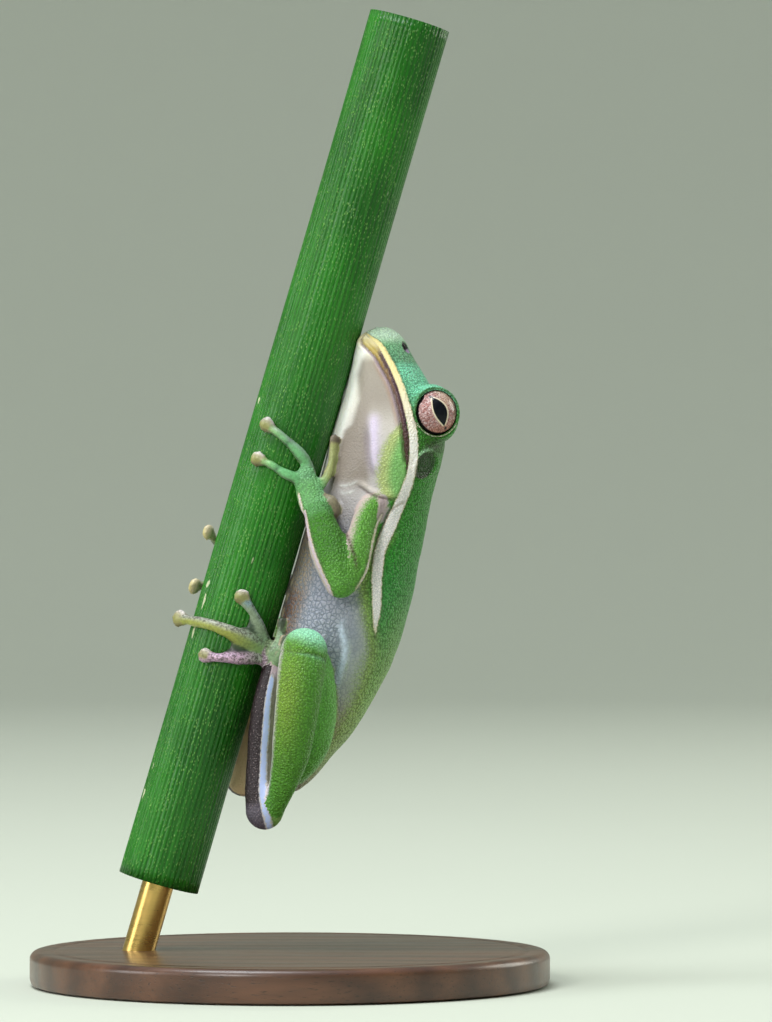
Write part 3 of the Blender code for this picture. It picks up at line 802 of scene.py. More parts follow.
def grain_group() -> bpy.types.NodeTree:
    """Group: pebbles of two sizes. Height is 1 on their tops, Tip their spots where highlights are painted
    and Gap their gaps, where shade is painted.

    Returns:
        The group's tree.
    """
    graph, given, result = start_group("grain", {"Size": 4000, "Small": 9000}, ("Height", "Gap", "Tip"))
    coarse = graph.cells(given.outputs["Size"], vector=given.outputs["Vector"], randomness=0.85)
    small = graph.cells(given.outputs["Small"], vector=given.outputs["Vector"])
    big = graph.span(coarse, 0.0, 0.75, 1.0, 0.0)
    tiny = graph.span(small, 0.0, 0.8, 1.0, 0.0)
    height = graph.plus(graph.times(big, 0.75), graph.times(tiny, 0.25))
    gap, tip = graph.span(coarse, 0.42, 0.78), graph.span(coarse, 0.1, 0.42, 1.0, 0.0)
    graph.fill(result, {"Height": height, "Gap": gap, "Tip": tip})
    return graph.tree


@dataclass(frozen=True)
class Head:
    """The head's own frame at the corner of the jaw, and its mouth, nostrils and eardrums."""

    corner: tuple[float, float] = (17.4, 12.3)
    forward: tuple[float, float] = (0.803, -0.596)
    up: tuple[float, float] = (0.596, 0.803)
    mouth: Rows = (
        (-1.0, -0.6), (0.3, -0.17), (1.56, 0.12), (2.76, 0.45), (4.14, 0.78), (5.2, 0.98), (6.75, 1.15),
        (7.8, 1.19), (8.7, 1.16), (9.5, 1.03), (11.4, 0.74), (13.1, 0.0), (13.6, 0.1), (13.9, 0.6),
        (14.2, 1.8),
    )  # fmt: skip
    nostril: tuple[float, float, float] = (28.75, 8.75, 1.75)
    nostril_size: tuple[float, float] = (1.5, 2.0)
    eardrum: tuple[float, float] = (13.45, 51.95)
    eardrum_way: tuple[float, float] = (0.49, 0.87)
    eardrum_size: tuple[float, float] = (1.35, 0.85)

    def place(self, points: Array) -> tuple[Array, Array]:
        """How far forward and up the points lie in the head's frame."""
        offset = points[:, :2] - self.corner
        return offset @ np.array(self.forward), offset @ np.array(self.up)

    def point(self, forward: float, up: float) -> Array:
        """A point of the head's frame as u and v."""
        return np.array(self.corner) + forward * np.array(self.forward) + up * np.array(self.up)

    def above_mouth(self, points: Array) -> Array:
        """Height over the mouth line, in millimetres, negative on the lower jaw."""
        forward, up = self.place(points)
        return up - np.interp(forward, *np.transpose(self.mouth))

    def nostril_distance(self, points: Array) -> Array:
        """Distance from the nearer nostril, shorter forward and across so that it is an upright slit.

        Args:
            points: places in the reed's frame.

        Returns:
            Millimetres.
        """
        offset = points * (1.0, 1.0, 0.0) + np.abs(points) * (0.0, 0.0, 1.0) - self.nostril
        forward = offset[:, :2] @ np.array(self.forward) / self.nostril_size[0]
        rest = offset[:, :2] @ np.array(self.up)
        return np.sqrt(forward**2 + rest**2 + (offset[:, 2] / self.nostril_size[1]) ** 2)

    def eardrum_share(self, points: Array) -> Array:
        """Share of the way from the eardrum's middle to its rim, which is 1.

        Args:
            points: places in the reed's frame.

        Returns:
            Shares, 0 in the middle.
        """
        x, z = FRAME.side_view(points)
        dx, dz = x - self.eardrum[0], z - self.eardrum[1]
        long_way = dx * self.eardrum_way[0] + dz * self.eardrum_way[1]
        short_way = dx * self.eardrum_way[1] - dz * self.eardrum_way[0]
        return np.hypot(long_way / self.eardrum_size[0], short_way / self.eardrum_size[1])


HEAD = Head()


@dataclass(frozen=True)
class Trunk:
    """Head and torso: sections of unlike width, height and squareness, from snout to vent.

    A row of the head has its place forward, the heights of belly, side and back there, the half width,
    and the squareness above and below. A row of the trunk has u and v of belly, side and back instead.
    """

    head_rows: Rows = (
        (14.15, 1.3, 1.7, 2.2, 0.55, 2.0, 2.0), (14.03, 0.6, 1.1, 2.65, 1.15, 2.1, 2.0),
        (13.85, 0.0, 0.5, 3.0, 1.75, 2.2, 2.0), (13.5, -0.4, 0.15, 3.35, 2.3, 2.3, 2.0),
        (13.0, -0.8, 0.05, 3.75, 2.75, 2.4, 2.0), (12.2, -1.35, 0.35, 4.08, 3.3, 2.5, 1.9),
        (10.9, -2.2, 0.8, 4.25, 4.1, 2.5, 1.8), (9.5, -3.2, 1.0, 4.45, 4.85, 2.5, 1.7),
        (8.0, -4.3, 1.1, 4.75, 5.55, 2.5, 1.7), (6.5, -5.4, 1.15, 4.95, 6.15, 2.4, 1.7),
        (5.0, -6.5, 1.05, 5.1, 6.6, 2.3, 1.7),
    )  # fmt: skip
    trunk_rows: Rows = (
        (15.5, 4.2, 20.25, 11.15, 22.6, 14.65, 6.95, 2.2, 1.7),
        (13.4, 4.2, 18.2, 12.1, 20.25, 15.25, 7.05, 2.1, 1.7),
        (11.3, 4.2, 15.4, 11.9, 17.3, 15.4, 6.6, 2.1, 1.7),
        (9.0, 4.2, 12.3, 11.1, 14.2, 15.55, 6.3, 2.1, 1.7), (6.4, 4.2, 8.7, 10.7, 10.5, 15.9, 6.5, 2.1, 1.7),
        (3.5, 4.2, 4.8, 10.3, 6.2, 16.25, 6.9, 2.1, 1.8), (0.4, 4.2, 1.0, 10.2, 1.8, 16.5, 7.2, 2.1, 1.8),
        (-2.8, 4.4, -2.6, 10.1, -2.4, 16.15, 6.9, 2.1, 1.9),
        (-6.0, 4.8, -6.0, 9.9, -6.2, 15.4, 6.2, 2.1, 1.9), (-9.2, 5.3, -9.4, 9.8, -9.7, 14.4, 5.4, 2.0, 2.0),
        (-12.2, 6.1, -12.4, 9.4, -12.7, 13.0, 4.5, 2.0, 2.0),
        (-14.8, 7.3, -15.1, 9.4, -15.3, 11.8, 3.4, 2.0, 2.0),
        (-16.5, 8.6, -16.7, 9.6, -16.7, 10.8, 2.0, 2.0, 2.0),
    )  # fmt: skip
    snout_tip: tuple[float, float] = (14.2, 1.8)
    vent: tuple[float, float] = (-17.2, 9.7)
    sides: int = 96

    def rows(self, steps: int) -> Array:
        """Sections from snout to vent, closely spaced.

        Args:
            steps: sections made from one row to the next.

        Returns:
            Belly, side and back as u and v, half width, and squareness above and below.
        """
        rows = []
        for forward, *heights, half_width, above, below in self.head_rows:
            places = np.concatenate([HEAD.point(forward, height) for height in heights])
            rows.append((*places, half_width, above, below))
        return spline(rows + list(self.trunk_rows), steps)

    def distance(self, points: Array) -> Array:
        """About how far points lie outside: the superellipse of the nearest section, less 1, by its size.

        Args:
            points: places in the reed's frame.

        Returns:
            Millimetres, negative inside.
        """
        rows = self.rows(2)
        belly, flank, back = rows[:, 0:2], rows[:, 2:4], rows[:, 4:6]
        rise = unit(back - belly)
        offset = points[:, None, :2] - flank[None]
        beside = np.abs(offset[..., 0] * rise[:, 1] - offset[..., 1] * rise[:, 0])
        best = beside.argmin(1)
        height = (offset[np.arange(len(points)), best] * rise[best]).sum(1)
        high = height > 0
        reach = np.where(high, *(np.linalg.norm(end - flank, axis=1)[best] for end in (back, belly)))
        power = np.where(high, rows[best, 7], rows[best, 8])
        half = rows[best, 6]
        size = ((np.abs(height) / reach) ** power + (np.abs(points[:, 2]) / half) ** power) ** (1 / power)
        return (size - 1) * np.minimum(reach, half)

    def shell(self) -> Shell:
        """Superellipses through belly, side and back: |sin|^p up and down, |cos|^p out, p by squareness.

        Returns:
            The closed surface, kept out of the reed.
        """
        rows = self.rows(5)
        belly, flank, back = (np.column_stack((rows[:, k : k + 2], np.zeros(len(rows)))) for k in (0, 2, 4))
        angle = circle(self.sides)
        rise, spread = np.sin(angle), np.cos(angle)
        above = rise >= 0
        power = 2 / np.where(above, rows[:, 7:8], rows[:, 8:9])
        height = np.abs(rise) ** power
        breadth = np.sign(spread) * np.abs(spread) ** power * rows[:, 6:7]
        reach = np.where(above[None, :, None], (back - flank)[:, None], (belly - flank)[:, None])
        rings = flank[:, None] + reach * height[..., None] + breadth[..., None] * (0.0, 0.0, 1.0)
        made = loft(rings, np.array((*HEAD.point(*self.snout_tip), 0.0)), np.array((*self.vent, 0.0)))
        return Shell(FRAME.clear(made.points, INTO_REED), made.quads, made.triangles)


@dataclass(frozen=True)
class Eye:
    """An eye and its lids. Its plane has axes across and upright in the side view, and one along the gaze.

    Places in the plane are shares of the ball's half sizes. The dome's rows are a share and a height.
    """

    side: Side
    centre: tuple[float, float, float] = (23.25, 13.32, 4.75)
    gaze: tuple[float, float, float] = (0.12, 0.2, 1.0)
    half_width: float = 2.1
    half_height: float = 2.26
    lid_size: tuple[float, float, float] = (2.95, 2.4, 2.5)
    dome: Rows = (
        (0.0, 2.2), (0.1, 2.19), (0.2, 2.16), (0.3, 2.11), (0.4, 2.04), (0.5, 1.94), (0.6, 1.8), (0.7, 1.62),
        (0.8, 1.4), (0.9, 1.12), (0.97, 0.86), (1.0, 0.7), (1.0, 0.5), (0.9, 0.25), (0.6, -0.1), (0.0, -0.3),
    )  # fmt: skip
    opening: float = 1.06
    bed: float = 0.2
    reach: float = 1.7
    lid_height: float = 0.98
    lid_edge: float = 0.15

    def axes(self) -> tuple[Array, Array, Array]:
        """Directions of the eye's plane, across and upright, and of the gaze, for the left eye.

        Returns:
            Three directions of length one.
        """
        gaze = unit(np.array(self.gaze))
        across = np.array((math.sin(FRAME.lean), math.cos(FRAME.lean), 0.0))
        across = unit(across - (across @ gaze) * gaze)
        return across, -np.cross(gaze, across), gaze

    def place(self, points: Array) -> tuple[Array, Array, Array]:
        """Place across and upright as shares of the half sizes, and height along the gaze in millimetres.

        Args:
            points: places in the reed's frame.

        Returns:
            Across, upright and height.
        """
        offset = points * (1.0, 1.0, self.side.value) - self.centre
        across, upright, gaze = self.axes()
        return offset @ across / self.half_width, offset @ upright / self.half_height, offset @ gaze

    def beside(self, points: Array) -> Array:
        """Which points lie on the eye's side of the frog."""
        return points[:, 2] * self.side.value > 0

    def from_plane(self, a: Array, b: Array, height: Array) -> Array:
        """Points of the left side from shares across and upright and a height.

        Args:
            a: shares across.
            b: shares upright.
            height: millimetres along the gaze.

        Returns:
            Points in the reed's frame.
        """
        across, upright, gaze = self.axes()
        a, b, height = (np.asarray(value)[..., None] for value in (a, b, height))
        return self.centre + a * self.half_width * across + b * self.half_height * upright + height * gaze

    def lid(self) -> Shell:
        """The bulge that holds the eye: an ellipsoid on the head's axes, by sine and cosine of two angles.

        Returns:
            The closed surface.
        """
        theta = np.linspace(0, math.pi, 26)[1:-1, None]
        phi = circle(48)[None]
        forward, up = (np.array((*way, 0.0)) for way in (HEAD.forward, HEAD.up))
        out = np.array((0.0, 0.0, 1.0))
        shares = (np.sin(theta) * np.cos(phi), np.sin(theta) * np.sin(phi), np.cos(theta) * np.ones_like(phi))
        rings = np.array(self.centre)
        for share, way, size in zip(shares, (forward, up, out), self.lid_size):
            rings = rings + share[..., None] * way * size
        tips = (np.array(self.centre) + out * self.lid_size[2] * sign for sign in (1, -1))
        return loft(rings, *tips).on_side(self.side)

    def rim(self) -> Shell:
        """The lids' margin: a round cord round the opening, by sine and cosine of its turn.

        Returns:
            The closed surface.
        """
        theta = circle(120)[:, None]
        turn = circle(12)[None]
        radius = self.opening + self.lid_edge / self.half_width * np.cos(turn)
        height = self.lid_height + self.lid_edge * np.sin(turn) + 0 * theta
        grid = self.from_plane(radius * np.cos(theta), radius * np.sin(theta), height)
        count, sides = grid.shape[:2]
        i, j = np.meshgrid(np.arange(count), np.arange(sides), indexing="ij")
        n, m = (i + 1) % count, (j + 1) % sides
        quads = np.stack((i * sides + j, n * sides + j, n * sides + m, i * sides + m), axis=-1).reshape(-1, 4)
        return Shell(grid.reshape(-1, 3), quads, np.empty((0, 3), int)).on_side(self.side)

    def press(self, points: Array) -> Array:
        """Opens the lids: skin in front of the ball sinks under it, and round it slopes down to the margin.

        Args:
            points: the skin in the reed's frame.

        Returns:
            The moved points.
        """
        a, b, height = self.place(points)
        ring = np.hypot(a, b)
        front = self.beside(points) & (height > -0.2) & (ring < self.reach)
        snap = front & (np.abs(ring - self.opening) < 0.045)
        scale = np.where(snap, self.opening / np.maximum(ring, 1e-6), 1.0)
        slope = self.lid_height + 1.15 * np.maximum(ring - self.opening, 0.0) ** 0.7
        low = np.where(ring < self.opening - 0.01, self.bed, slope)
        sunk = np.where(front, np.minimum(height, low), height)
        moved = self.from_plane(a * scale, b * scale, sunk) * (1.0, 1.0, self.side.value)
        return np.where(front[:, None], moved, points)

    def ball(self) -> bpy.types.Mesh:
        """The visible ball: the dome's profile turned about the gaze, with its plane kept as a UV map.

        Returns:
            The mesh, in the part's frame.
        """
        profile = spline(self.dome, 4)[1:-1]
        theta = circle(144)[None]
        radius = np.maximum(profile[:, :1], 0.004)
        rings = self.from_plane(radius * np.cos(theta), radius * np.sin(theta), profile[:, 1:] + 0 * theta)
        tips = (self.from_plane(0.0, 0.0, self.dome[k][1]) for k in (0, -1))
        made = loft(rings, *tips).on_side(self.side)
        mesh = made.world_mesh(f"eye_{self.side.name.lower()}")
        store_uv(mesh, "iris", np.column_stack(self.place(made.points)[:2]))
        return mesh


@dataclass(frozen=True)
class Fold:
    """A crease or ridge of the trunk's skin along a line of the side view."""

    line: Rows
    height: float
    width: float

    def share(self, x: Array, z: Array) -> Array:
        """How near places of the side view are to the line: a bell across it, fading at its ends.

        Args:
            x: places across.
            z: places up.

        Returns:
            Shares, 0 to 1.
        """
        line = spline(self.line, 6)
        start, way = line[:-1], np.diff(line, axis=0)
        offset = np.column_stack((x, z))[:, None] - start[None]
        share = np.clip((offset * way).sum(-1) / (way**2).sum(-1), 0.0, 1.0)
        distance = np.linalg.norm(offset - share[..., None] * way, axis=-1)
        best = distance.argmin(1)
        row = np.arange(len(best))
        along = (best + share[row, best]) / len(way)
        fade = ease(0.0, 0.25, along) * ease(0.0, 0.25, 1 - along)
        return bump(distance[row, best], self.width) * fade


RIDGE = Fold(((8.5, 57.6), (8.4, 56.0), (8.4, 54.0), (8.5, 52.2), (8.9, 50.8)), 0.2, 0.55)
CREASE = Fold(((7.6, 56.2), (7.7, 54.6), (7.85, 52.8), (8.2, 51.4), (8.6, 50.4)), -0.14, 0.32)
FLANK = Fold(
    ((5.5, 37.4), (5.2, 36.0), (5.4, 35.0), (5.6, 33.9), (5.5, 32.8), (5.2, 31.8), (4.9, 30.6), (4.4, 28.3)),
    0.16,
    0.36,
)
FLANK_GROOVE = Fold(
    ((5.1, 37.2), (4.8, 36.0), (5.0, 35.0), (5.2, 33.9), (5.1, 32.8), (4.8, 31.8), (4.5, 30.6), (4.0, 28.5)),
    -0.1,
    0.22,
)
GULAR = Fold(
    ((6.4, 50.1), (7.1, 49.7), (8.0, 49.15), (9.0, 48.75), (10.0, 48.6), (11.2, 48.7), (12.0, 49.0)),
    -0.13,
    0.12,
)
ROLL = Fold(((6.4, 50.6), (7.4, 50.1), (8.1, 49.6), (9.2, 49.2), (10.4, 49.1), (11.4, 49.2)), 0.06, 0.26)
CHEST_HIGH = Fold(((4.7, 50.0), (5.4, 49.9), (6.2, 50.1), (7.0, 50.5)), 0.05, 0.1)
CHEST_LOW = Fold(((4.9, 49.3), (5.8, 49.2), (6.6, 49.45)), 0.05, 0.1)
AXILLA = Fold(((10.9, 48.5), (9.9, 47.2), (9.4, 46.0), (8.8, 44.5), (8.3, 42.5), (8.0, 41.5)), -0.16, 0.17)
ARM_ROLL = Fold(((9.0, 47.5), (8.4, 45.0), (7.9, 43.2), (7.3, 41.4), (6.6, 40.2), (5.8, 39.4)), 0.12, 0.22)
WRINKLE = Fold(((9.9, 47.2), (10.4, 47.7), (11.0, 48.1), (12.1, 48.6)), -0.09, 0.12)
LOW_WRINKLE = Fold(((10.3, 46.6), (11.0, 47.2), (12.0, 47.5)), -0.07, 0.12)
NECK = Fold(((15.9, 54.6), (15.0, 53.2), (14.4, 51.2), (13.4, 49.2), (12.2, 48.0)), 0.07, 0.45)
FOLDS = (
    RIDGE, CREASE, FLANK, FLANK_GROOVE, GULAR, AXILLA, WRINKLE, ROLL, CHEST_HIGH, CHEST_LOW, ARM_ROLL,
    LOW_WRINKLE, NECK,
)  # fmt: skip

# Two lines where only colour changes: the pale fold of the shoulder, and painted shade in the bend of the
# elbow.
SHOULDER = Fold(((9.2, 49.2), (9.3, 48.2), (9.1, 47.2), (8.7, 45.8)), 0.0, 0.42)
ELBOW = Fold(((5.2, 46.2), (5.84, 44.8), (6.2, 43.8), (6.6, 42.6), (6.8, 41.0)), 0.0, 0.15)


@dataclass
class Cover:
    """For each point of the skin: what it covers, how surely, and its place on that tube."""

    kind: Array
    limb: Array
    along: Array
    across: Array
    out: Array
    order: Array
    web: Array

    def on(self, *kinds: Kind) -> Array:
        """Whether each point belongs to one of these kinds."""
        return np.isin(self.kind, [kind.value for kind in kinds])

    def of(self, *kinds: Kind) -> Array:
        """Share of the skin at each point that belongs to these kinds."""
        return self.on(*kinds) * self.limb


@dataclass(frozen=True)
class SkinLines:
    """Borders of the markings in the side view, in millimetres: height, and where they lie across."""

    stripe: Rows = (
        (34.8, 8.6, 8.55), (36.0, 8.35, 8.75), (37.5, 8.25, 9.1), (39.5, 8.2, 9.15), (41.5, 8.2, 9.3),
        (43.5, 8.5, 9.6), (45.5, 9.2, 10.5), (47.5, 10.1, 11.3), (49.5, 11.05, 12.1), (51.5, 11.72, 12.6),
        (53.5, 11.9, 12.8), (55.5, 11.78, 12.65), (57.5, 11.36, 12.1), (59.5, 10.8, 11.5), (61.5, 10.0, 10.7),
        (63.5, 9.0, 9.6), (64.3, 8.35, 8.95), (65.0, 7.7, 7.9), (65.6, 7.2, 7.0),
    )  # fmt: skip
    green: Rows = (
        (20.0, 3.6), (24.6, 5.0), (27.0, 5.9), (29.4, 6.6), (32.6, 7.6), (34.5, 7.7), (36.5, 7.4),
        (38.5, 7.1), (40.0, 6.9), (41.2, 7.1), (43.0, 8.0), (45.0, 9.4), (46.8, 10.1), (48.0, 9.7),
        (48.9, 9.2), (50.5, 8.75), (52.5, 8.95), (54.3, 9.6), (55.3, 10.3), (56.2, 11.2), (57.5, 11.8),
        (59.5, 11.3), (61.5, 10.5), (63.5, 9.4), (64.3, 8.7), (65.2, 7.6), (67.0, 6.5),
    )  # fmt: skip

    def stripe_distance(self, x: Array, z: Array) -> Array:
        """Millimetres inside the pale stripe, negative outside.

        Args:
            x: places across.
            z: places up.

        Returns:
            Millimetres.
        """
        table = spline(self.stripe, 4)
        left, right = (np.interp(z, table[:, 0], table[:, k]) for k in (1, 2))
        inside = np.minimum(x - left, right - x)
        return np.minimum(inside, np.minimum(z - self.stripe[0][0], self.stripe[-1][0] - z))

    def green_distance(self, x: Array, z: Array) -> Array:
        """Millimetres into the green of back and sides, negative on throat and belly."""
        table = spline(self.green, 4)
        return x - np.interp(z, table[:, 0], table[:, 1])

    def stripe_left(self, z: Array) -> Array:
        """Where the stripe's left border lies at each height."""
        table = spline(self.stripe, 4)
        return np.interp(z, table[:, 0], table[:, 1])


LINES = SkinLines()


def blend_rows(rows: Scale, value: Array) -> Array:
    """Colours along a scale: each row is a place on it and a colour, with straight blends between.

    Args:
        rows: the scale.
        value: places on it.

    Returns:
        A linear colour for each place.
    """
    places = [place for place, _ in rows]
    colours = np.array([linear(code) for _, code in rows])
    return np.column_stack([np.interp(value, places, colours[:, k]) for k in range(3)])


def lay(base: Array, *layers: tuple[str, Array]) -> Array:
    """Lays colours over others, one after another.

    Args:
        base: a linear colour for each point.
        layers: a colour and its share, one for all points or one at each.

    Returns:
        The colours.
    """
    for code, share in layers:
        share = np.broadcast_to(np.clip(share, 0.0, 1.0), len(base))[:, None]
        base = base * (1 - share) + np.array(linear(code)) * share
    return base


@dataclass(frozen=True)
class SkinFinish:
    """Colours and grain of the skin. Borders are distances in millimetres, made sharp in the shader."""

    back: Scale = (
        (20.0, "82ad5a"), (28.0, "80bc58"), (34.0, "46984a"), (38.0, "309238"), (43.0, "268c1c"),
        (50.0, "2b880c"), (54.0, "30880c"), (56.5, "459a46"), (58.5, "559c63"), (61.5, "66a67c"),
        (63.5, "74ac7c"), (66.0, "b4d69c"),
    )  # fmt: skip
    # Colours by height; the darkest row, at 43 mm, is partly painted shade under the arm.
    belly: Scale = (
        (20.0, "9a8474"), (26.0, "a2a2aa"), (32.0, "a5adba"), (38.0, "979aa8"), (43.0, "7f838b"),
        (47.0, "949092"), (50.0, "aaa4a4"), (54.0, "bdb6b4"), (57.0, "d6d0ca"), (61.0, "ece8dc"),
        (66.0, "f4ecca"),
    )  # fmt: skip
    stripe: Scale = (
        (34.0, "e2ddc0"), (37.0, "f4efee"), (42.0, "fbf2f4"), (48.0, "f0eaea"), (54.0, "eee9e4"),
        (58.0, "eee4c8"), (61.0, "ecdca0"), (64.0, "e8d894"),
    )  # fmt: skip
    band: Scale = (
        (51.0, "381c18"), (54.0, "41241e"), (56.0, "4d3029"), (58.5, "6a4a38"), (60.5, "80603c"),
        (62.2, "93783a"), (63.6, "b8a352"), (65.0, "ecdfae"),
    )  # fmt: skip
    pink: str = "d0aacc"
    # Painted shade in the elbow's bend.
    elbow_bend_shade: str = "40201f"
    # Where painted shade on the throat starts: height, and gap to the reed, in millimetres.
    shade_starts: Rows = (
        (50.0, 1.0), (53.2, 0.85), (55.4, 1.1), (56.0, 1.6), (58.5, 1.6), (61.0, 0.7), (62.8, 0.7),
    )  # fmt: skip
    behind_eye: tuple[float, float] = (14.4, 53.9)
    roughness: float = 0.34
    pebble_height: float = 0.23
    cell_height: float = 0.07

    def mark(self, mesh: bpy.types.Mesh, normals: Array, cover: Cover, eyes: tuple[Eye, ...]) -> None:
        """Keeps borders, colours and grain strengths at the points of the mesh, in the reed's frame.

        Args:
            mesh: receives the attributes.
            normals: directions out of the skin.
            cover: what the skin covers at each point.
            eyes: both eyes.
        """
        points = mesh_array(mesh)
        x, z = FRAME.side_view(points)
        share, trunk = cover.limb, 1 - cover.limb
        rim, lid_highlight = self.eye_marks(points, eyes)
        body, limbs = self.trunk_marks(points, normals), self.limb_marks(points, normals, cover)
        cells = trunk * (1 - ease(43.0, 47.5, z)) * (1 - ease(-0.4, 1.2, body.pop("into_green")))
        cells = cells * (1 - 0.65 * ease(4.2, 5.8, x) * (1 - ease(36.0, 39.0, z)))
        cells = cells * (1 - 0.6 * FLANK.share(x, z))
        body["green"] = np.where(rim > 0.3, 1.0, body["green"])
        body["pale"] = np.maximum(body["pale"], lid_highlight)
        marks = {}
        for name, value in body.items():
            of_trunk, of_limb = (trunk, share) if value.ndim == 1 else (trunk[:, None], share[:, None])
            marks[name] = value * of_trunk + limbs[name] * of_limb
        facing = (share < 0.5) | (points[:, 2] > 0)
        shoulder = facing * SHOULDER.share(x, z)
        # Painted shade in the gular and armpit folds and in the elbow's bend.
        crease_shade = facing * np.maximum(GULAR.share(x, z), AXILLA.share(x, z))
        bend = (self.elbow_bend_shade, 0.95 * facing * ELBOW.share(x, z))
        pit, above = HEAD.nostril_distance(points), HEAD.above_mouth(points)
        forward, _ = HEAD.place(points)
        marks["green"] = marks["green"] - 1.9 * shoulder
        # The nostril's pit takes the dark tone: black painted shade, and a lilac lining at its back.
        marks["dark"] = np.maximum(marks["dark"], 0.46 - pit)
        marks["upper"] = lay(marks["upper"], ("26391a", 0.8 * crease_shade), bend)
        marks["under"] = lay(marks["under"], ("9b8a90", 0.8 * shoulder), ("4a382f", 0.8 * crease_shade), bend)
        wrinkle = ("8a7a5c", 0.7 * WRINKLE.share(x, z))
        # Brownish wrinkles on the stripe, and a pale blue-grey painted highlight on the lower lids' margins.
        marks["pale_tone"] = lay(marks["pale_tone"], wrinkle, ("c4d0d2", rim > 0.2))
        nostril = (("0b090e", ease(0.62, 0.55, pit)), ("a58bb0", (pit < 0.6) * ease(11.15, 10.95, forward)))
        marks["dark_tone"] = lay(marks["dark_tone"], *nostril)
        marks["cells"] = cells
        # Painted shade along the mouth's groove.
        marks["crease"] = trunk * ease(0.2, 0.9, forward) * bump(above, 0.1) * (forward < 15)
        marks["freckles"] = trunk * (0.12 + 0.75 * bump(forward - 8.0, 3.2) * (above > 0.5))
        marks["seams"] = trunk * (1 - ease(48.0, 52.0, z))
        chin = trunk * (z > 48.5) * (x < LINES.stripe_left(z))
        grain = 1.0 - 0.75 * cover.of(Kind.FINGER, Kind.TOE) - 0.3 * share - 0.6 * chin
        marks["grain"] = np.clip(grain - 0.45 * ease(62.6, 64.6, z), 0.0, 1.0)
        store(mesh, marks)

    def eye_marks(self, points: Array, eyes: tuple[Eye, ...]) -> tuple[Array, Array]:
        """The lids' margins, and the painted highlight along each lower lid's margin.

        Args:
            points: places in the reed's frame.
            eyes: both eyes.

        Returns:
            How near each point is to a margin, 0 to 1, and its distance into the painted highlight line.
        """
        rim, line = np.zeros(len(points)), np.full(len(points), ABSENT)
        for eye in eyes:
            a, b, height = eye.place(points)
            ring = np.hypot(a, b)
            near = (height > 0) & eye.beside(points)
            rim = np.maximum(rim, near * bump(ring - eye.opening, 0.07))
            # A thin pale line on the lower lid's margin: a painted highlight.
            lower = near * (0.035 - np.abs(ring - 1.05) * 2.0) - 0.06 * (b > -0.45)
            line = np.maximum(line, np.where(near & (ring < 1.2), lower * 2.2, ABSENT))
        return rim, line

    def trunk_marks(self, points: Array, normals: Array) -> dict[str, Array]:
        """Borders and colours of head and torso, from the side view.

        Args:
            points: places in the reed's frame.
            normals: directions out of the skin.

        Returns:
            Borders, tones and mottling by name, and the plain distance into the green.
        """
        x, z = FRAME.side_view(points)
        above = HEAD.above_mouth(points)
        left = LINES.stripe_left(z)
        green = np.maximum(LINES.green_distance(x, z), (normals[:, 1] - 0.62) * 3.0)
        soft = 1 - 0.4 * (1 - ease(43.0, 46.0, z)) * (1 - ease(1.0, 2.0, green))
        soft = soft - 0.45 * bump(z - 52.5, 3.0) * (x < 10.6)
        in_band = left - x + 0.16 * ripple(points, 0.55, 12)
        maroon = (1 - ease(0.26, 0.56, in_band)) * ease(54.0, 56.5, z)
        behind_eye = bump(np.hypot(x - self.behind_eye[0], (z - self.behind_eye[1]) * 1.3), 1.3)
        drum = HEAD.eardrum_share(points)
        return {
            "into_green": green,
            "green": green * soft,
            "pale": LINES.stripe_distance(x, z),
            "dark": np.minimum(np.minimum(above - 0.06, left - x), np.minimum(z - 51.2, 64.6 - z)),
            "mottle": 0.8 * behind_eye + 0.3 * (drum < 0.95),
            "upper": self.trunk_upper(points, normals, green, drum, behind_eye),
            "under": self.trunk_under(x, z, points[:, 1] - FRAME.radius, above, -green),
            "dark_tone": lay(blend_rows(self.band, z), ("432a38", 0.9 * maroon * (1 - ease(62.8, 64.0, z)))),
            "pale_tone": blend_rows(self.stripe, z),
        }

    def trunk_under(self, x: Array, z: Array, away: Array, above: Array, jaw: Array) -> Array:
        """Colours of throat, chest and belly, with painted light on the throat beside the reed and painted
        shade across its middle.

        Args:
            x: places across in the side view.
            z: places up in it.
            away: gap to the reed.
            above: height over the mouth line.
            jaw: distance out of the green.

        Returns:
            Linear colours.
        """
        throat = ease(49.0, 51.0, z)
        # Painted light: a bright strip along the throat beside the reed.
        bright = (1 - ease(0.7, 1.5, away)) * throat
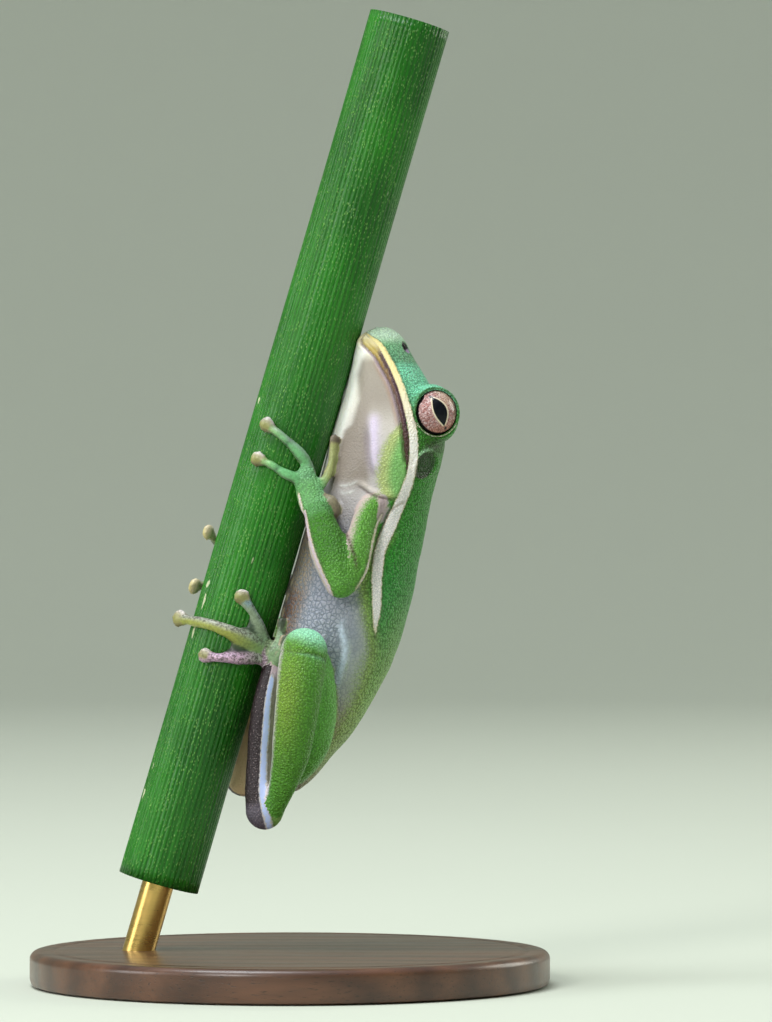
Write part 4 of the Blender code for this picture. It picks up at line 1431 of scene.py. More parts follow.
        # Painted shade over the rest of the throat, kept off the ridge lower down.
        start = np.interp(z, *np.transpose(self.shade_starts))
        left_of_ridge = 1 - (1 - ease(53.8, 58.8, z)) * ease(7.5, 8.3, x)
        shade = ease(-0.3, 0.4, away - start) * left_of_ridge * throat * (1 - ease(62.0, 63.5, z))
        lip = ease(55.0, 56.5, z) * (1 - ease(61.0, 63.0, z))
        low = 1 - ease(44.0, 47.0, z)
        chest = np.maximum(CHEST_HIGH.share(x, z), CHEST_LOW.share(x, z))
        return lay(
            blend_rows(self.belly, z),
            ("fbfaf6", 0.9 * bright),
            ("7b6e63", 0.8 * shade),
            ("cfc2dc", 0.95 * RIDGE.share(x, z)),
            # Painted shade in the crease left of the ridge, and a painted highlight on the roll over the
            # gular fold.
            ("75696e", 0.6 * CREASE.share(x, z)),
            ("e9dbd2", 0.35 * ROLL.share(x, z)),
            ("e9efee", 0.3 * chest),
            ("9c7a68", 0.55 * bump(above + 0.38, 0.2) * lip),
            ("c9b2c0", 0.95 * bump(above + 0.12, 0.1) * ease(55.5, 57.0, z)),
            ("e8dcae", 0.9 * ease(63.2, 64.8, z)),
            ("85734f", 0.75 * (1 - ease(1.0, 3.0, away)) * low),
            ("6d4a36", 0.85 * (1 - ease(0.8, 2.6, away)) * (1 - ease(38.5, 40.5, z))),
            ("d2bfb4", 0.6 * (1 - ease(0.1, 0.35, away)) * low),
            ("a3aa98", 0.6 * (1 - ease(0.2, 1.3, jaw)) * low),
            # The flank's pale fold, lightened further by a painted highlight along its ridge.
            ("ccdcf0", 0.9 * FLANK.share(x, z)),
            ("85909c", 0.4 * bump(jaw - 1.0, 0.5) * bump(z - 33.5, 4.0)),
            ("b58f86", 0.8 * bump(z - 25.0, 2.6) * ease(3.0, 4.5, x)),
        )

    def trunk_upper(
        self, points: Array, normals: Array, green: Array, drum: Array, behind_eye: Array
    ) -> Array:
        """Colours of back, head and jaw, with painted highlights on the brow, the snout's top, the eardrum's
        rim and the back's far edge, and painted shade on the eardrum's rim.

        Args:
            points: places in the reed's frame.
            normals: directions out of the skin.
            green: distance into the green.
            drum: share of the way to the eardrum's rim.
            behind_eye: nearness to the dark place behind the eye.

        Returns:
            Linear colours.
        """
        x, z = FRAME.side_view(points)
        above = HEAD.above_mouth(points)
        jaw = (1 - ease(-0.1, 0.15, above)) * ease(48.2, 48.9, z)
        jaw = jaw * (1 - ease(11.2, 11.6, x - 0.35 * (z - 49.0)))
        slope = (x - HEAD.eardrum[0]) * HEAD.eardrum_way[1] - (z - HEAD.eardrum[1]) * HEAD.eardrum_way[0]
        # How far the skin faces up the reed, where highlights are painted.
        rise = ease(-0.05, 0.7, normals[:, 0])
        return lay(
            blend_rows(self.back, z + 0.6 * ripple(points, 5.0, 8)),
            ("7db468", 0.9 * jaw),
            ("b0b878", 0.85 * jaw * (1 - ease(0.5, 1.7, green))),
            ("a0b468", 0.7 * (1 - ease(0.3, 1.8, green)) * (1 - ease(44.0, 46.0, z))),
            ("123c04", 0.9 * (1 - ease(0.93, 1.05, drum))),
            # The eardrum's dark rim, darkest on its left with painted shade, and a painted highlight on its
            # upper left rim.
            ("1d1a0a", 0.95 * bump(drum - 1.0, 0.13) * (1 - 0.75 * ease(0.2, 1.0, x - 13.2))),
            ("c0f6c4", bump(drum - 1.24, 0.13) * (slope < 0.0) * ease(51.2, 52.0, z)),
            ("2f5a12", 0.8 * behind_eye),
            # A painted rim light: paler yellow-green along the back's far edge, low on the body.
            ("8fae52", 0.5 * bump(points[:, 1] - 15.8, 1.6) * (1 - ease(30.0, 42.0, z))),
            ("8a7350", 0.55 * (1 - ease(20.4, 22.6, z))),
            # Painted highlights on faces turned up the reed: mint on the brow, whitish on the snout's top.
            ("86e4bc", 0.8 * rise * ease(57.0, 58.5, z) * (1 - ease(61.5, 62.5, z))),
            ("dcf6e4", 0.7 * rise * ease(63.8, 65.2, z)),
        )

    def limb_marks(self, points: Array, normals: Array, cover: Cover) -> dict[str, Array]:
        """Borders and colours of arms, legs and digits, from the place on each tube.

        Args:
            points: places in the reed's frame.
            normals: directions out of the skin.
            cover: what the skin covers at each point.

        Returns:
            Borders, tones and mottling by name.
        """
        a, b, t = cover.across, cover.out, cover.along
        arm, fore, palm = (cover.on(k) for k in (Kind.UPPER_ARM, Kind.FOREARM, Kind.PALM))
        finger = cover.on(Kind.FINGER)
        thigh, shank, tarsus = (cover.on(k) for k in (Kind.THIGH, Kind.SHANK, Kind.TARSUS))
        sole, toe = cover.on(Kind.SOLE), cover.on(Kind.TOE)
        band = -0.24 + 0.2 * (1 - ease(0.0, 0.35, t))
        half = 0.24 - 0.06 * (1 - ease(0.0, 0.2, t))
        wrist = (0.3 - a) * 1.2 + 4.0 * ease(0.06, 0.3, t)
        greens = (
            (arm, np.minimum(np.minimum((b + 0.5) * 1.4, (a + 0.62) * 0.8), wrist)),
            (fore, np.minimum((b + 0.35) * 1.2, (0.8 - a) * 1.6)),
            (thigh, (b + 0.72) * 1.6),
            (shank, np.minimum((b + 0.78) * 1.6, (a + 0.93) * 2.0) + 3.0 * ease(0.9, 0.97, t) * (b > -0.5)),
            (tarsus, np.full(len(a), -1.0)),
            (palm, (b + 0.25) * 0.9),
            (sole, (b + 0.6) * 0.8),
            (finger | toe, (b + 0.5) * 0.6),
        )
        edge = np.minimum((half - np.abs(a - band)) * 1.35, (b + 0.4) * 1.4)
        pales = (
            (arm, np.minimum(0.08 - np.abs(a - 0.93) * 1.3, (b + 0.22) * 1.2) - (1 - ease(0.1, 0.3, t))),
            (fore, 0.2 - np.abs(a - 0.8) * 1.8),
            (tarsus, edge - 0.7 * ease(0.84, 0.97, t)),
            (palm, 0.16 - np.abs(a - 0.82) * 1.8 - ease(0.3, 0.6, t)),
        )
        fringe = np.minimum((a - 0.86) * 1.8, (b + 0.55) * 1.4) - (1 - ease(0.2, 0.6, t))
        darks = (
            (fore, np.minimum(fringe, 0.2)),
            (tarsus, np.minimum((a - band - half) * 1.35, (b + 0.5) * 1.2)),
        )
        patchy = np.where(cover.order > 4, 1.0, 0.35 + 0.65 * ease(-0.2, 0.6, normals[:, 0]))
        mottle = np.select([toe, sole, finger], [patchy, 0.6, 0.3], 0.0) * (1 - 0.5 * ease(0.75, 0.9, t))
        near_foot = tarsus & (a < band - half)
        plain = np.ones((len(a), 3))
        return {
            "green": np.select(*zip(*greens), 1.0),
            "pale": np.select(*zip(*pales), ABSENT),
            "dark": np.select(*zip(*darks), ABSENT),
            "mottle": mottle * (1 - 0.6 * cover.web),
            "upper": self.limb_upper(points, normals[:, 0], cover),
            "under": lay(
                linear("cfc6cf") * plain,
                ("bba49c", arm * 0.8),
                ("6d7440", thigh * 0.9),
                ("55722f", shank),
                ("cdbfca", shank * 0.9 * (a < -0.8)),
                ("ffe0b4", tarsus * 0.9 * (b < 0.0)),
                ("7a6f5c", near_foot * 0.85 * (b > -0.3)),
                ("6a9440", near_foot * 0.9 * (1 - ease(0.06, 0.2, t))),
                ("b9a3ad", tarsus * ease(0.8, 0.95, t)),
                ("b3a58c", finger | toe),
                ("33443a", cover.web * 0.9),
            ),
            "dark_tone": lay(
                linear("4d353a") * plain,
                ("1d0e15", tarsus),
                ("5a5360", tarsus * ((1 - ease(0.0, 0.12, t)) * 0.7)),
            ),
            "pale_tone": lay(linear("d3ccd0") * plain, ("bfb0bc", fore), ("adbbe6", tarsus)),
        }

    def limb_upper(self, points: Array, rise: Array, cover: Cover) -> Array:
        """Colours of the green side of limbs and of the digits, with painted highlights on faces turned up
        the reed and painted shade on those turned down.

        Args:
            points: places in the reed's frame.
            rise: how far the skin faces up the reed, -1 to 1.
            cover: what the skin covers at each point.

        Returns:
            Linear colours.
        """
        a, t, order = cover.across, cover.along, cover.order
        arm, fore, palm = (cover.on(k) for k in (Kind.UPPER_ARM, Kind.FOREARM, Kind.PALM))
        fingers = cover.on(Kind.FINGER)
        thigh, shank, sole, toes = (cover.on(k) for k in (Kind.THIGH, Kind.SHANK, Kind.SOLE, Kind.TOE))
        digits = fingers | toes
        third_toe, fifth_toe = toes * (order == 3), toes * (order == 5)
        second_finger = fingers & (order == 2)
        near_toe = toes & (order < 3) & (points[:, 2] > 0)
        # Faces turned up the reed take painted highlights, faces turned down painted shade.
        top, shaded_underside = ease(-0.2, 0.6, rise), 1 - ease(-0.85, -0.35, rise)
        rim = digits * ease(0.84, 0.9, t)
        # Painted sky highlight where shank and palm face up the reed, plus a mint tint over the palm and the
        # forearm's wrist end.
        mint_and_sky_sheen = ease(0.2, 0.95, rise) * (shank | palm) * (1 - ease(0.0, 0.12, t) * shank)
        mint_and_sky_sheen = np.maximum(mint_and_sky_sheen, palm * (0.45 + 0.45 * ease(0.4, 1.0, t)) + fore * 0.3 * ease(0.7, 1.0, t))
        pink_side = (toes | sole) * ((order == 5) | (order == 0)) * ease(0.2, 0.7, a)
        return lay(
            linear("508e2a") * np.ones((len(t), 3)),
            ("7cc488", fingers * 0.85),
            ("9ea04c", toes * 0.9),
            # Painted light on the toes' upper faces.
            ("a6a8aa", toes * top * 0.75),
            ("8ba29e", third_toe * 0.65),
            (self.pink, fifth_toe * 0.85),
            # Painted shade along the fifth toe's lower side.
            ("453437", fifth_toe * (1 - ease(-0.75, -0.2, rise)) * 0.8),
            ("7f8f70", sole * 0.85),
            ("86b285", toes * (order > 2) * (1 - ease(0.05, 0.35, t)) * 0.8),
            ("9aa567", fingers * ease(0.35, 0.8, t) * 0.7),
            ("7c97a4", third_toe * bump(t - 0.62, 0.08) * (rise > -0.3) * 0.8),
            ("7f7254", digits * ease(0.72, 0.9, t) * 0.9),
            # Painted highlights on the discs' tops, and painted shade under the fingers.
            ("d3c7bd", digits * ease(0.78, 0.9, t) * top * 0.75),
            ("5c4f49", fingers * shaded_underside * 0.75),
            # Painted shade in the fingers' joint crease.
            ("2f4a38", fingers * (order > 2) * 0.8 * bump(t - 0.42, 0.02)),
            ("8f8a96", fingers * (order == 3) * top * 0.45),
            # Disc rims: olive at the sides, painted shade below and a painted highlight above.
            ("9aa04c", rim * bump(rise, 0.45) * 0.5),
            ("6f6a3c", rim * shaded_underside * 0.6),
            ("e6dfe0", rim * ease(0.45, 0.9, rise) * 0.7),
            # Painted light on the discs of the far side, behind the reed.
            ("d8c890", digits * (points[:, 2] < 0) * ease(0.78, 0.9, t) * 0.6),
            ("86a888", near_toe * 0.8),
            # A painted shadow over toes 1 and 2 on the near side, toward their discs.
            ("3f463c", near_toe * 0.9 * ease(0.25, 0.55, t)),
            ("38741a", fore * 0.8),
            ("62a23c", fore * 0.6 * (1 - ease(0.06, 0.4, t))),
            ("5f9c38", arm * 0.7),
            # The painted sky highlight and mint tint.
            ("86c493", mint_and_sky_sheen * 0.85),
            ("6ab44c", thigh * 0.75),
            # A painted highlight on the knee's top, and painted shade in the knee's crease.
            ("a4f0cc", shank * 0.9 * ease(0.2, 0.9, rise) * (1 - ease(0.05, 0.17, t))),
            ("2f4a1c", shank * 0.5 * bump(t - 0.045, 0.01) * (cover.out > 0)),
            ("8fa23a", shank * 0.5 * bump(t - 0.3, 0.28) * (1 - ease(-0.5, 0.6, a))),
            (self.pink, pink_side * 0.75),
            ("41313a", sole * 0.6 * ease(0.6, 0.95, a)),
            ("a8a06a", second_finger * 0.8 * ease(0.0, 0.3, t)),
            ("6f6557", second_finger * ease(0.72, 0.85, t)),
            ("8d7468", fingers * (order == 1) * 0.85),
            ("2c4236", cover.web * 0.9),
        )

    def material(self) -> bpy.types.Material:
        """Green grained skin over pale cells, with a cream stripe and maroon bands, moist and translucent.

        Returns:
            The material.
        """
        made, graph, shader = new_material("frog_skin")
        place = graph.object_place()
        tone, _ = graph.uneven(place, 420.0, 2600.0, 0.16)
        grain = graph.add("Group", {"Vector": place, "Size": 4000.0, "Small": 8000.0}, node_tree=GRAIN)
        rough_share = graph.attribute("grain")
        gap = graph.times(grain.outputs["Gap"], rough_share)
        tip = graph.times(grain.outputs["Tip"], rough_share)
        ragged = graph.less(graph.noise(2600.0, 3.0), 0.5)
        dither = graph.less(graph.noise(6200.0, 2.0), 0.5)
        frayed = graph.plus(graph.times(ragged, 0.22), graph.times(dither, 0.7))
        is_green = graph.span(graph.plus(graph.attribute("green"), frayed), -0.32, 0.32)
        edge_wave = graph.plus(graph.times(ragged, 0.25), graph.times(dither, 0.22))
        pale = graph.plus(graph.attribute("pale"), edge_wave)
        dark = graph.plus(graph.attribute("dark"), graph.times(ragged, 0.3))
        is_pale, is_dark = graph.span(pale, -0.06, 0.06), graph.span(dark, -0.05, 0.08)

        # Belly and throat: pale cells with darker seams.
        edge = graph.cells(2150.0, True, randomness=0.8)
        dome = graph.span(edge, 0.0, 0.34)
        cell_share = graph.attribute("cells")
        seam = graph.times(graph.span(edge, 0.03, 0.17, 1.0, 0.0), cell_share)
        colour = graph.mix(graph.times(seam, 0.68), graph.attribute("under", "Color"), (0.1, 0.13, 0.17))

        # Back and sides: painted shade between the pebbles, painted highlights on their tips, freckled before
        # the eyes.
        shade = graph.times(graph.less(1.0, graph.times(gap, 0.46)), tone)
        upper = graph.mix(1.0, graph.attribute("upper", "Color"), graph.grey(shade), blend="MULTIPLY")
        # A lighter copy of the colour, for the painted highlights on the pebbles' tips.
        light = graph.mix(1.0, graph.attribute("upper", "Color"), (1.65, 1.6, 1.5), blend="MULTIPLY")
        upper = graph.mix(graph.times(tip, 0.7), upper, light)
        freckle = graph.span(graph.cells(3300.0, randomness=0.9), 0.17, 0.3, 0.75, 0.0)
        upper = graph.mix(graph.times(freckle, graph.attribute("freckles")), upper, "22471c")
        colour = graph.mix(is_green, colour, upper)

        # The stripe with its dark outer line, fine net and yellow margin, and then the dark bands.
        outside = graph.times(graph.span(pale, -0.26, -0.12), graph.span(pale, -0.08, 0.0, 1.0, 0.0))
        colour = graph.mix(graph.times(outside, 0.4), colour, "3f4a22")
        net = graph.span(graph.cells(4000.0, True), 0.03, 0.2, 0.5, 0.0)
        veined = graph.times(net, graph.plus(graph.times(graph.attribute("seams"), 0.75), 0.08))
        netted = graph.mix(veined, graph.attribute("pale_tone", "Color"), "9aa4a8")
        colour = graph.mix(is_pale, colour, netted)
        margin = graph.times(graph.span(pale, -0.05, 0.02), graph.span(pale, 0.03, 0.12, 1.0, 0.0))
        colour = graph.mix(graph.times(margin, 0.5), colour, "b9a468")
        dots = graph.span(graph.cells(4200.0), 0.1, 0.3, 0.34, 0.0)
        colour = graph.mix(is_dark, colour, graph.mix(dots, graph.attribute("dark_tone", "Color"), "b29ea0"))
        speck = graph.span(graph.noise(3900.0, 4.0, roughness=0.7), 0.45, 0.58)
        colour = graph.mix(graph.times(speck, graph.attribute("mottle"), 0.8), colour, "3a3429")
        # Painted shade in the mouth's groove.
        colour = graph.mix(graph.times(graph.attribute("crease"), 0.75), colour, "4a2f2a")

        # Relief: fine noise, then the cells' domes, then the pebbles, low on the stripe and on pale skin.
        calm = graph.times(graph.span(is_green, 0.0, 1.0, 0.3, 1.0), graph.span(is_pale, 0.0, 1.0, 1.0, 0.4))
        normal = graph.relief(graph.noise(9000.0, 2.0), 0.012)
        normal = graph.relief(graph.times(dome, cell_share), self.cell_height, 0.9, normal)
        pebbles = graph.times(grain.outputs["Height"], rough_share)
        normal = graph.relief(graph.times(pebbles, calm), self.pebble_height, 1.0, normal)
        shine = {"Roughness": graph.plus(self.roughness, graph.times(gap, 0.3)), "Specular IOR Level": 0.36}
        depth = {"Subsurface Weight": 0.1, "Subsurface Radius": (1.0, 0.8, 0.5), "Subsurface Scale": 0.0005}
        graph.fill(shader, {"Base Color": colour, "Normal": normal, **shine, **depth})
        return made


@dataclass(frozen=True)
class Skin:
    """The frog's whole skin in one surface, from snout to toe discs."""

    trunk: Trunk
    limbs: tuple[Limb, ...]
    eyes: tuple[Eye, ...]
    folds: tuple[Fold, ...] = FOLDS
    voxel: float = 0.25
    narrow: float = 0.3
    smoothing: tuple[float, ...] = (0.6, -0.62)
    rounding: tuple[float, ...] = (0.6,)

    def tubes(self) -> list[Tube]:
        """Every limb and digit."""
        return [tube for limb in self.limbs for tube in limb.tubes()]

    def shells(self) -> list[Shell]:
        """Every closed form that the skin runs over.

        Returns:
            The surfaces.
        """
        lids, tubes = [eye.lid() for eye in self.eyes], [tube.shell() for tube in self.tubes()]
        webs = [limb.web(*web) for limb in self.limbs for web in limb.webs]
        return [self.trunk.shell(), *lids, *tubes, *webs]

    def wrapped(self) -> bpy.types.Mesh:
        """One surface round all forms, through a voxel remesh, in millimetres.

        Returns:
            The mesh.
        """
        mesh = joined(self.shells()).mesh("forms")
        source = link("forms", mesh)
        remesh = source.modifiers.new("wrap", "REMESH")
        remesh.mode = "VOXEL"
        remesh.voxel_size = self.voxel
        graph = bpy.context.evaluated_depsgraph_get()
        wrapped = bpy.data.meshes.new_from_object(source.evaluated_get(graph))
        bpy.data.objects.remove(source, do_unlink=True)
        bpy.data.meshes.remove(mesh)
        return wrapped

    def relax(self, mesh: bpy.types.Mesh, weight: Array, rounds: int, steps: tuple[float, ...]) -> None:
        """Smooths a mesh: each point moves by shares of the way to the mean of its neighbours.

        Args:
            mesh: the surface.
            weight: how far each point moves, 0 to 1.
            rounds: how often.
            steps: the shares of a round. A negative one moves back, which keeps the size.
        """
        edges = np.empty(len(mesh.edges) * 2, np.int32)
        mesh.edges.foreach_get("vertices", edges)
        first, second = edges.reshape(-1, 2).T
        points = mesh_array(mesh)
        count = len(points)
        degree = np.bincount(first, minlength=count) + np.bincount(second, minlength=count)
        for step in steps * rounds:
            total = [
                np.bincount(first, points[second, k], count) + np.bincount(second, points[first, k], count)
                for k in range(3)
            ]
            points += (step * weight)[:, None] * (np.column_stack(total) / degree[:, None] - points)
        place_points(mesh, points)

    def refine(self, mesh: bpy.types.Mesh) -> None:
        """Splits the faces round mouth, eyes, nostrils, eardrums and narrow folds in four.

        Args:
            mesh: the skin, changed in place.
        """
        points = mesh_array(mesh)
        forward, _ = HEAD.place(points)
        chosen = (np.abs(HEAD.above_mouth(points)) < 1.3) & (forward > -1.0)
        chosen |= (HEAD.eardrum_share(points) < 1.4) | (HEAD.nostril_distance(points) < 1.2)
        for eye in self.eyes:
            a, b, height = eye.place(points)
            chosen |= (np.hypot(a, b) < eye.reach) & (height > -1.0) & eye.beside(points)
        x, z = FRAME.side_view(points)
        for fold in self.folds:
            if fold.width < self.narrow:
                chosen |= fold.share(x, z) > 0.1
        shell = bmesh.new()
        shell.from_mesh(mesh)
        shell.verts.ensure_lookup_table()
        edges = [edge for edge in shell.edges if chosen[edge.verts[0].index] and chosen[edge.verts[1].index]]
        bmesh.ops.subdivide_edges(shell, edges=edges, cuts=1, use_grid_fill=True)
        shell.to_mesh(mesh)
        shell.free()

    def cover(self, points: Array) -> Cover:
        """Finds for each point the limb or digit whose skin is nearest; the rest is trunk.

        Args:
            points: places in the reed's frame.

        Returns:
            What the skin covers.
        """
        best = np.full(len(points), FAR - 1.0)
        made = Cover(*np.zeros((7, len(points))))
        for tube in self.tubes():
            place = tube.locate(points)
            closer = place.distance < best
            best = np.where(closer, place.distance, best)
            made.kind[closer] = tube.kind.value
            made.order[closer] = tube.order
            made.along[closer] = place.along[closer]
            made.across[closer] = place.across[closer]
            made.out[closer] = place.out[closer]
        trunk = self.trunk.distance(points)
        made.limb = ease(-0.15, 0.15, trunk - best) * (best < 1.5)
        on_reed = np.hypot(points[:, 1], points[:, 2]) < FRAME.radius + 0.8
        made.web = ease(0.06, 0.2, best) * (made.on(Kind.TOE, Kind.SOLE) & on_reed) * ease(0.0, 0.4, trunk)
        made.limb = np.maximum(made.limb, made.web > 0)
        made.kind[made.limb == 0] = Kind.TRUNK.value
        return made

    def joins(self, points: Array) -> Array:
        """How near each point is to where limb and trunk, or two parts of a limb, run into each other.

        Args:
            points: places in the reed's frame.

        Returns:
            Shares, 0 to 1.
        """
        found = [(tube.kind, tube.locate(points)) for tube in self.tubes() if tube.order == 0]
        ranked = np.sort([place.distance for _, place in found], axis=0)
        near = (1 - ease(0.1, 1.0, ranked[1])) * 0.8
        for kind, place in found:
            if kind in (Kind.UPPER_ARM, Kind.THIGH):
                root = (1 - ease(0.2, 1.3, place.distance)) * (1 - ease(0.25, 0.5, place.along))
                near = np.maximum(near, root)
        return near

    def shape(self, points: Array, normals: Array, cover: Cover) -> Array:
        """Adds mouth, lips, nostrils, eardrums, folds and slow unevenness: bells and waves along the normals.

        A number before a bell or a wave is its height, and the second one in a bell its width, in millimetres
        or in the measure's own shares.

        Args:
            points: places in the reed's frame.
            normals: directions out of the skin.
            cover: what the skin covers at each point.

        Returns:
            The moved points.
        """
        x, z = FRAME.side_view(points)
        forward, _ = HEAD.place(points)
        trunk = 1 - cover.limb
        above = HEAD.above_mouth(points)
        in_mouth = ease(0.2, 0.9, forward) * trunk * (forward < 15)
        lips = 0.1 * bump(above - 0.34, 0.2), 0.09 * bump(above + 0.32, 0.22)
        lift = in_mouth * (-0.24 * bump(above, 0.12) + lips[0] + lips[1])
        pit = HEAD.nostril_distance(points)
        lift += -0.7 * bump(pit, 0.27) + 0.08 * bump(pit - 0.5, 0.16)
        drum = HEAD.eardrum_share(points)
        lift += trunk * (0.2 * bump(drum - 1.1, 0.15) - 0.14 * (1 - ease(0.6, 0.98, drum)))
        shoulder = np.maximum(trunk, cover.of(Kind.UPPER_ARM) * (points[:, 2] > 0))
        for fold in self.folds:
            lift += shoulder * (fold.height * fold.share(x, z))
        lift += 0.035 * ripple(points, 6.0, 3) + 0.02 * ripple(points, 2.2, 4)
        lift += cover.of(Kind.SHANK) * -0.06 * bump(cover.along - 0.045, 0.012)
        lift += cover.of(Kind.FOREARM) * -0.06 * bump(cover.along - 0.93 + 0.05 * cover.across, 0.025)
        lift += cover.of(Kind.TOE, Kind.FINGER) * 0.03 * np.sin(cover.along * 26.0)
        return points + normals * lift[:, None]

    def build(self, finish: SkinFinish) -> None:
        """Wraps, smooths, refines, shapes and marks the skin.

        Args:
            finish: gives its colours and its material.
        """
        mesh = self.wrapped()
        LOG.info("skin wrapped in %d faces", len(mesh.polygons))
        self.relax(mesh, np.ones(len(mesh.vertices)), 3, self.smoothing)
        self.relax(mesh, self.joins(mesh_array(mesh)), 8, self.rounding)
        self.refine(mesh)
        points = mesh_array(mesh)
        for eye in self.eyes:
            points = eye.press(points)
        place_points(mesh, points)
        points = self.shape(points, mesh_array(mesh, normals=True), self.cover(points))
        place_points(mesh, FRAME.clear(points, 0.0))
        self.add_rims(mesh)
        points = mesh_array(mesh)
        finish.mark(mesh, mesh_array(mesh, normals=True), self.cover(points), self.eyes)
        place_points(mesh, FRAME.to_world(points))
        mesh.shade_smooth()
        parts = ("upper_arm", "forearm", "hand", "thigh", "shank", "tarsus", "foot")
        flesh = (f"{part}_{side.name.lower()}" for side in Side for part in parts)
        piece("frog_skin", mesh, finish.material(), "skin", "head", "torso", *flesh)

    def add_rims(self, mesh: bpy.types.Mesh) -> None:
        """Adds the margins of the lids to the skin's mesh.

        Args:
            mesh: the skin, changed in place.
        """
        shell = bmesh.new()
        shell.from_mesh(mesh)
        for eye in self.eyes:
            rim = eye.rim().mesh("rim")
            shell.from_mesh(rim)
            bpy.data.meshes.remove(rim)
        mesh.clear_geometry()
        shell.to_mesh(mesh)
        shell.free()


@dataclass(frozen=True)
class EyeFinish:
    """Coppery iris in a black ring, with an upright spindle of a pupil edged in pale gold."""

    iris: str = "b8827e"
    iris_pale: str = "e0c9cb"
    iris_dark: str = "5c302e"
    rim: str = "e3d6bd"
    pupil_place: tuple[float, float] = (0.0, 0.055)
    pupil_lean: float = math.radians(22.8)
    pupil_half_height: float = 1.62
    pupil_half_width: float = 0.68
    spots: Rows = ((-0.12, 1.62), (0.12, -1.8))

    def material(self) -> bpy.types.Material:
        """The ball's finish on its own plane's map, where a runs across and b upright in millimetres.

        Returns:
            The material.
        """
        made, graph, shader = new_material("frog_eye")
        parts = graph.add("SeparateXYZ", {0: graph.add("UVMap", uv_map="iris").outputs[0]})
        a = graph.times(parts.outputs[0], Eye.half_width)
        b = graph.times(parts.outputs[1], Eye.half_height)
        radius = graph.math("SQRT", graph.squares(a, b))

        # The pupil's axis leans a little; p runs across it and q along it. Its sides bow by 1 - q^2.
        offset, height = graph.less(a, self.pupil_place[0]), graph.less(b, self.pupil_place[1])
        cosine, sine = math.cos(self.pupil_lean), math.sin(self.pupil_lean)
        p = graph.plus(graph.times(offset, cosine), graph.times(height, sine))
        q = graph.less(graph.times(height, cosine), graph.times(offset, sine))
        q_share = graph.math("DIVIDE", q, self.pupil_half_height)
        bow = graph.math("MAXIMUM", graph.less(1.0, graph.times(q_share, q_share)), 0.0)
        width = graph.times(graph.math("POWER", bow, 1.15), self.pupil_half_width)
        spindle = graph.less(width, graph.math("ABSOLUTE", graph.less(p, graph.times(bow, 0.15))))
        is_pupil = graph.span(spindle, 0.0, 0.05)
        is_edge = graph.times(graph.span(spindle, -0.2, -0.04), graph.span(bow, 0.0, 0.2))

        # The iris: clouds, veins and flecks drawn out along the spokes, darker below by a painted shadow and
        # golden at one side.
        angle = graph.math("ARCTAN2", b, a)
        spoke = [graph.times(graph.math(wave, angle), 4.0) for wave in ("COSINE", "SINE")]
        spoke = graph.add("CombineXYZ", dict(enumerate((*spoke, graph.times(radius, 2.2))))).outputs[0]
        vein = graph.span(graph.cells(1.6, True, spoke), 0.0, 0.2, 1.0, 0.0)
        cloud = graph.noise(1.7, 5.0, spoke)
        shadow = graph.span(graph.plus(graph.times(a, -0.5), graph.times(b, -0.8)), 0.2, 2.0)
        gold = graph.times(graph.span(p, 0.2, 0.9), graph.span(q, -0.6, 0.6))
        ember = graph.times(graph.span(q, -0.8, -1.7), graph.span(cloud, 0.3, 0.6))
        fleck = graph.span(graph.noise(4.4, 5.0, spoke), 0.5, 0.6)
        colour = graph.mix(graph.span(cloud, 0.35, 0.68), self.iris, self.iris_pale)
        layers = (
            (vein, 0.55, self.iris_dark), (shadow, 0.4, self.iris_dark), (gold, 0.3, "d9c49a"),
            (ember, 0.5, "b4643c"), (fleck, 0.75, self.iris_dark), (is_edge, 0.9, self.rim),
        )  # fmt: skip
        for share, strength, code in layers:
            colour = graph.mix(graph.times(share, strength), colour, code)
        colour = graph.mix(is_pupil, colour, (0.002, 0.003, 0.007))
        for p_spot, q_spot in self.spots:
            far = graph.squares(graph.less(p, p_spot), graph.less(q, q_spot))
            colour = graph.mix(graph.span(far, 0.012, 0.03, 0.9, 0.0), colour, (0.004, 0.004, 0.007))

        # The black ring, a little uneven, wider on one side and notched at the upper corner.
        wobble = graph.times(graph.less(graph.noise(2.2, 2.0, spoke), 0.5), 0.1)
        lean = graph.times(graph.plus(a, b), -0.05)
        aside = graph.math("ABSOLUTE", graph.plus(a, 1.7))
        corner = graph.plus(aside, graph.math("ABSOLUTE", graph.less(b, 1.35)))
        notch = graph.span(corner, 0.1, 0.8, 0.2, 0.0)
        share = graph.math("SQRT", graph.squares(parts.outputs[0], parts.outputs[1]))
        share = graph.times(share, Eye.half_width)
        ring = graph.plus(graph.plus(share, wobble), graph.plus(lean, notch))
        colour = graph.mix(graph.span(ring, 1.91, 1.98), colour, (0.006, 0.005, 0.006))
        normal = graph.relief(graph.plus(graph.times(vein, -0.5), cloud), 0.05, 0.5)
        coat = {"Coat Weight": 1.0, "Coat Roughness": 0.02, "Coat IOR": 1.25}
        shine = {"Roughness": 0.32, "Specular IOR Level": 0.05}
        graph.fill(shader, {"Base Color": colour, "Normal": normal, **coat, **shine})
        return made


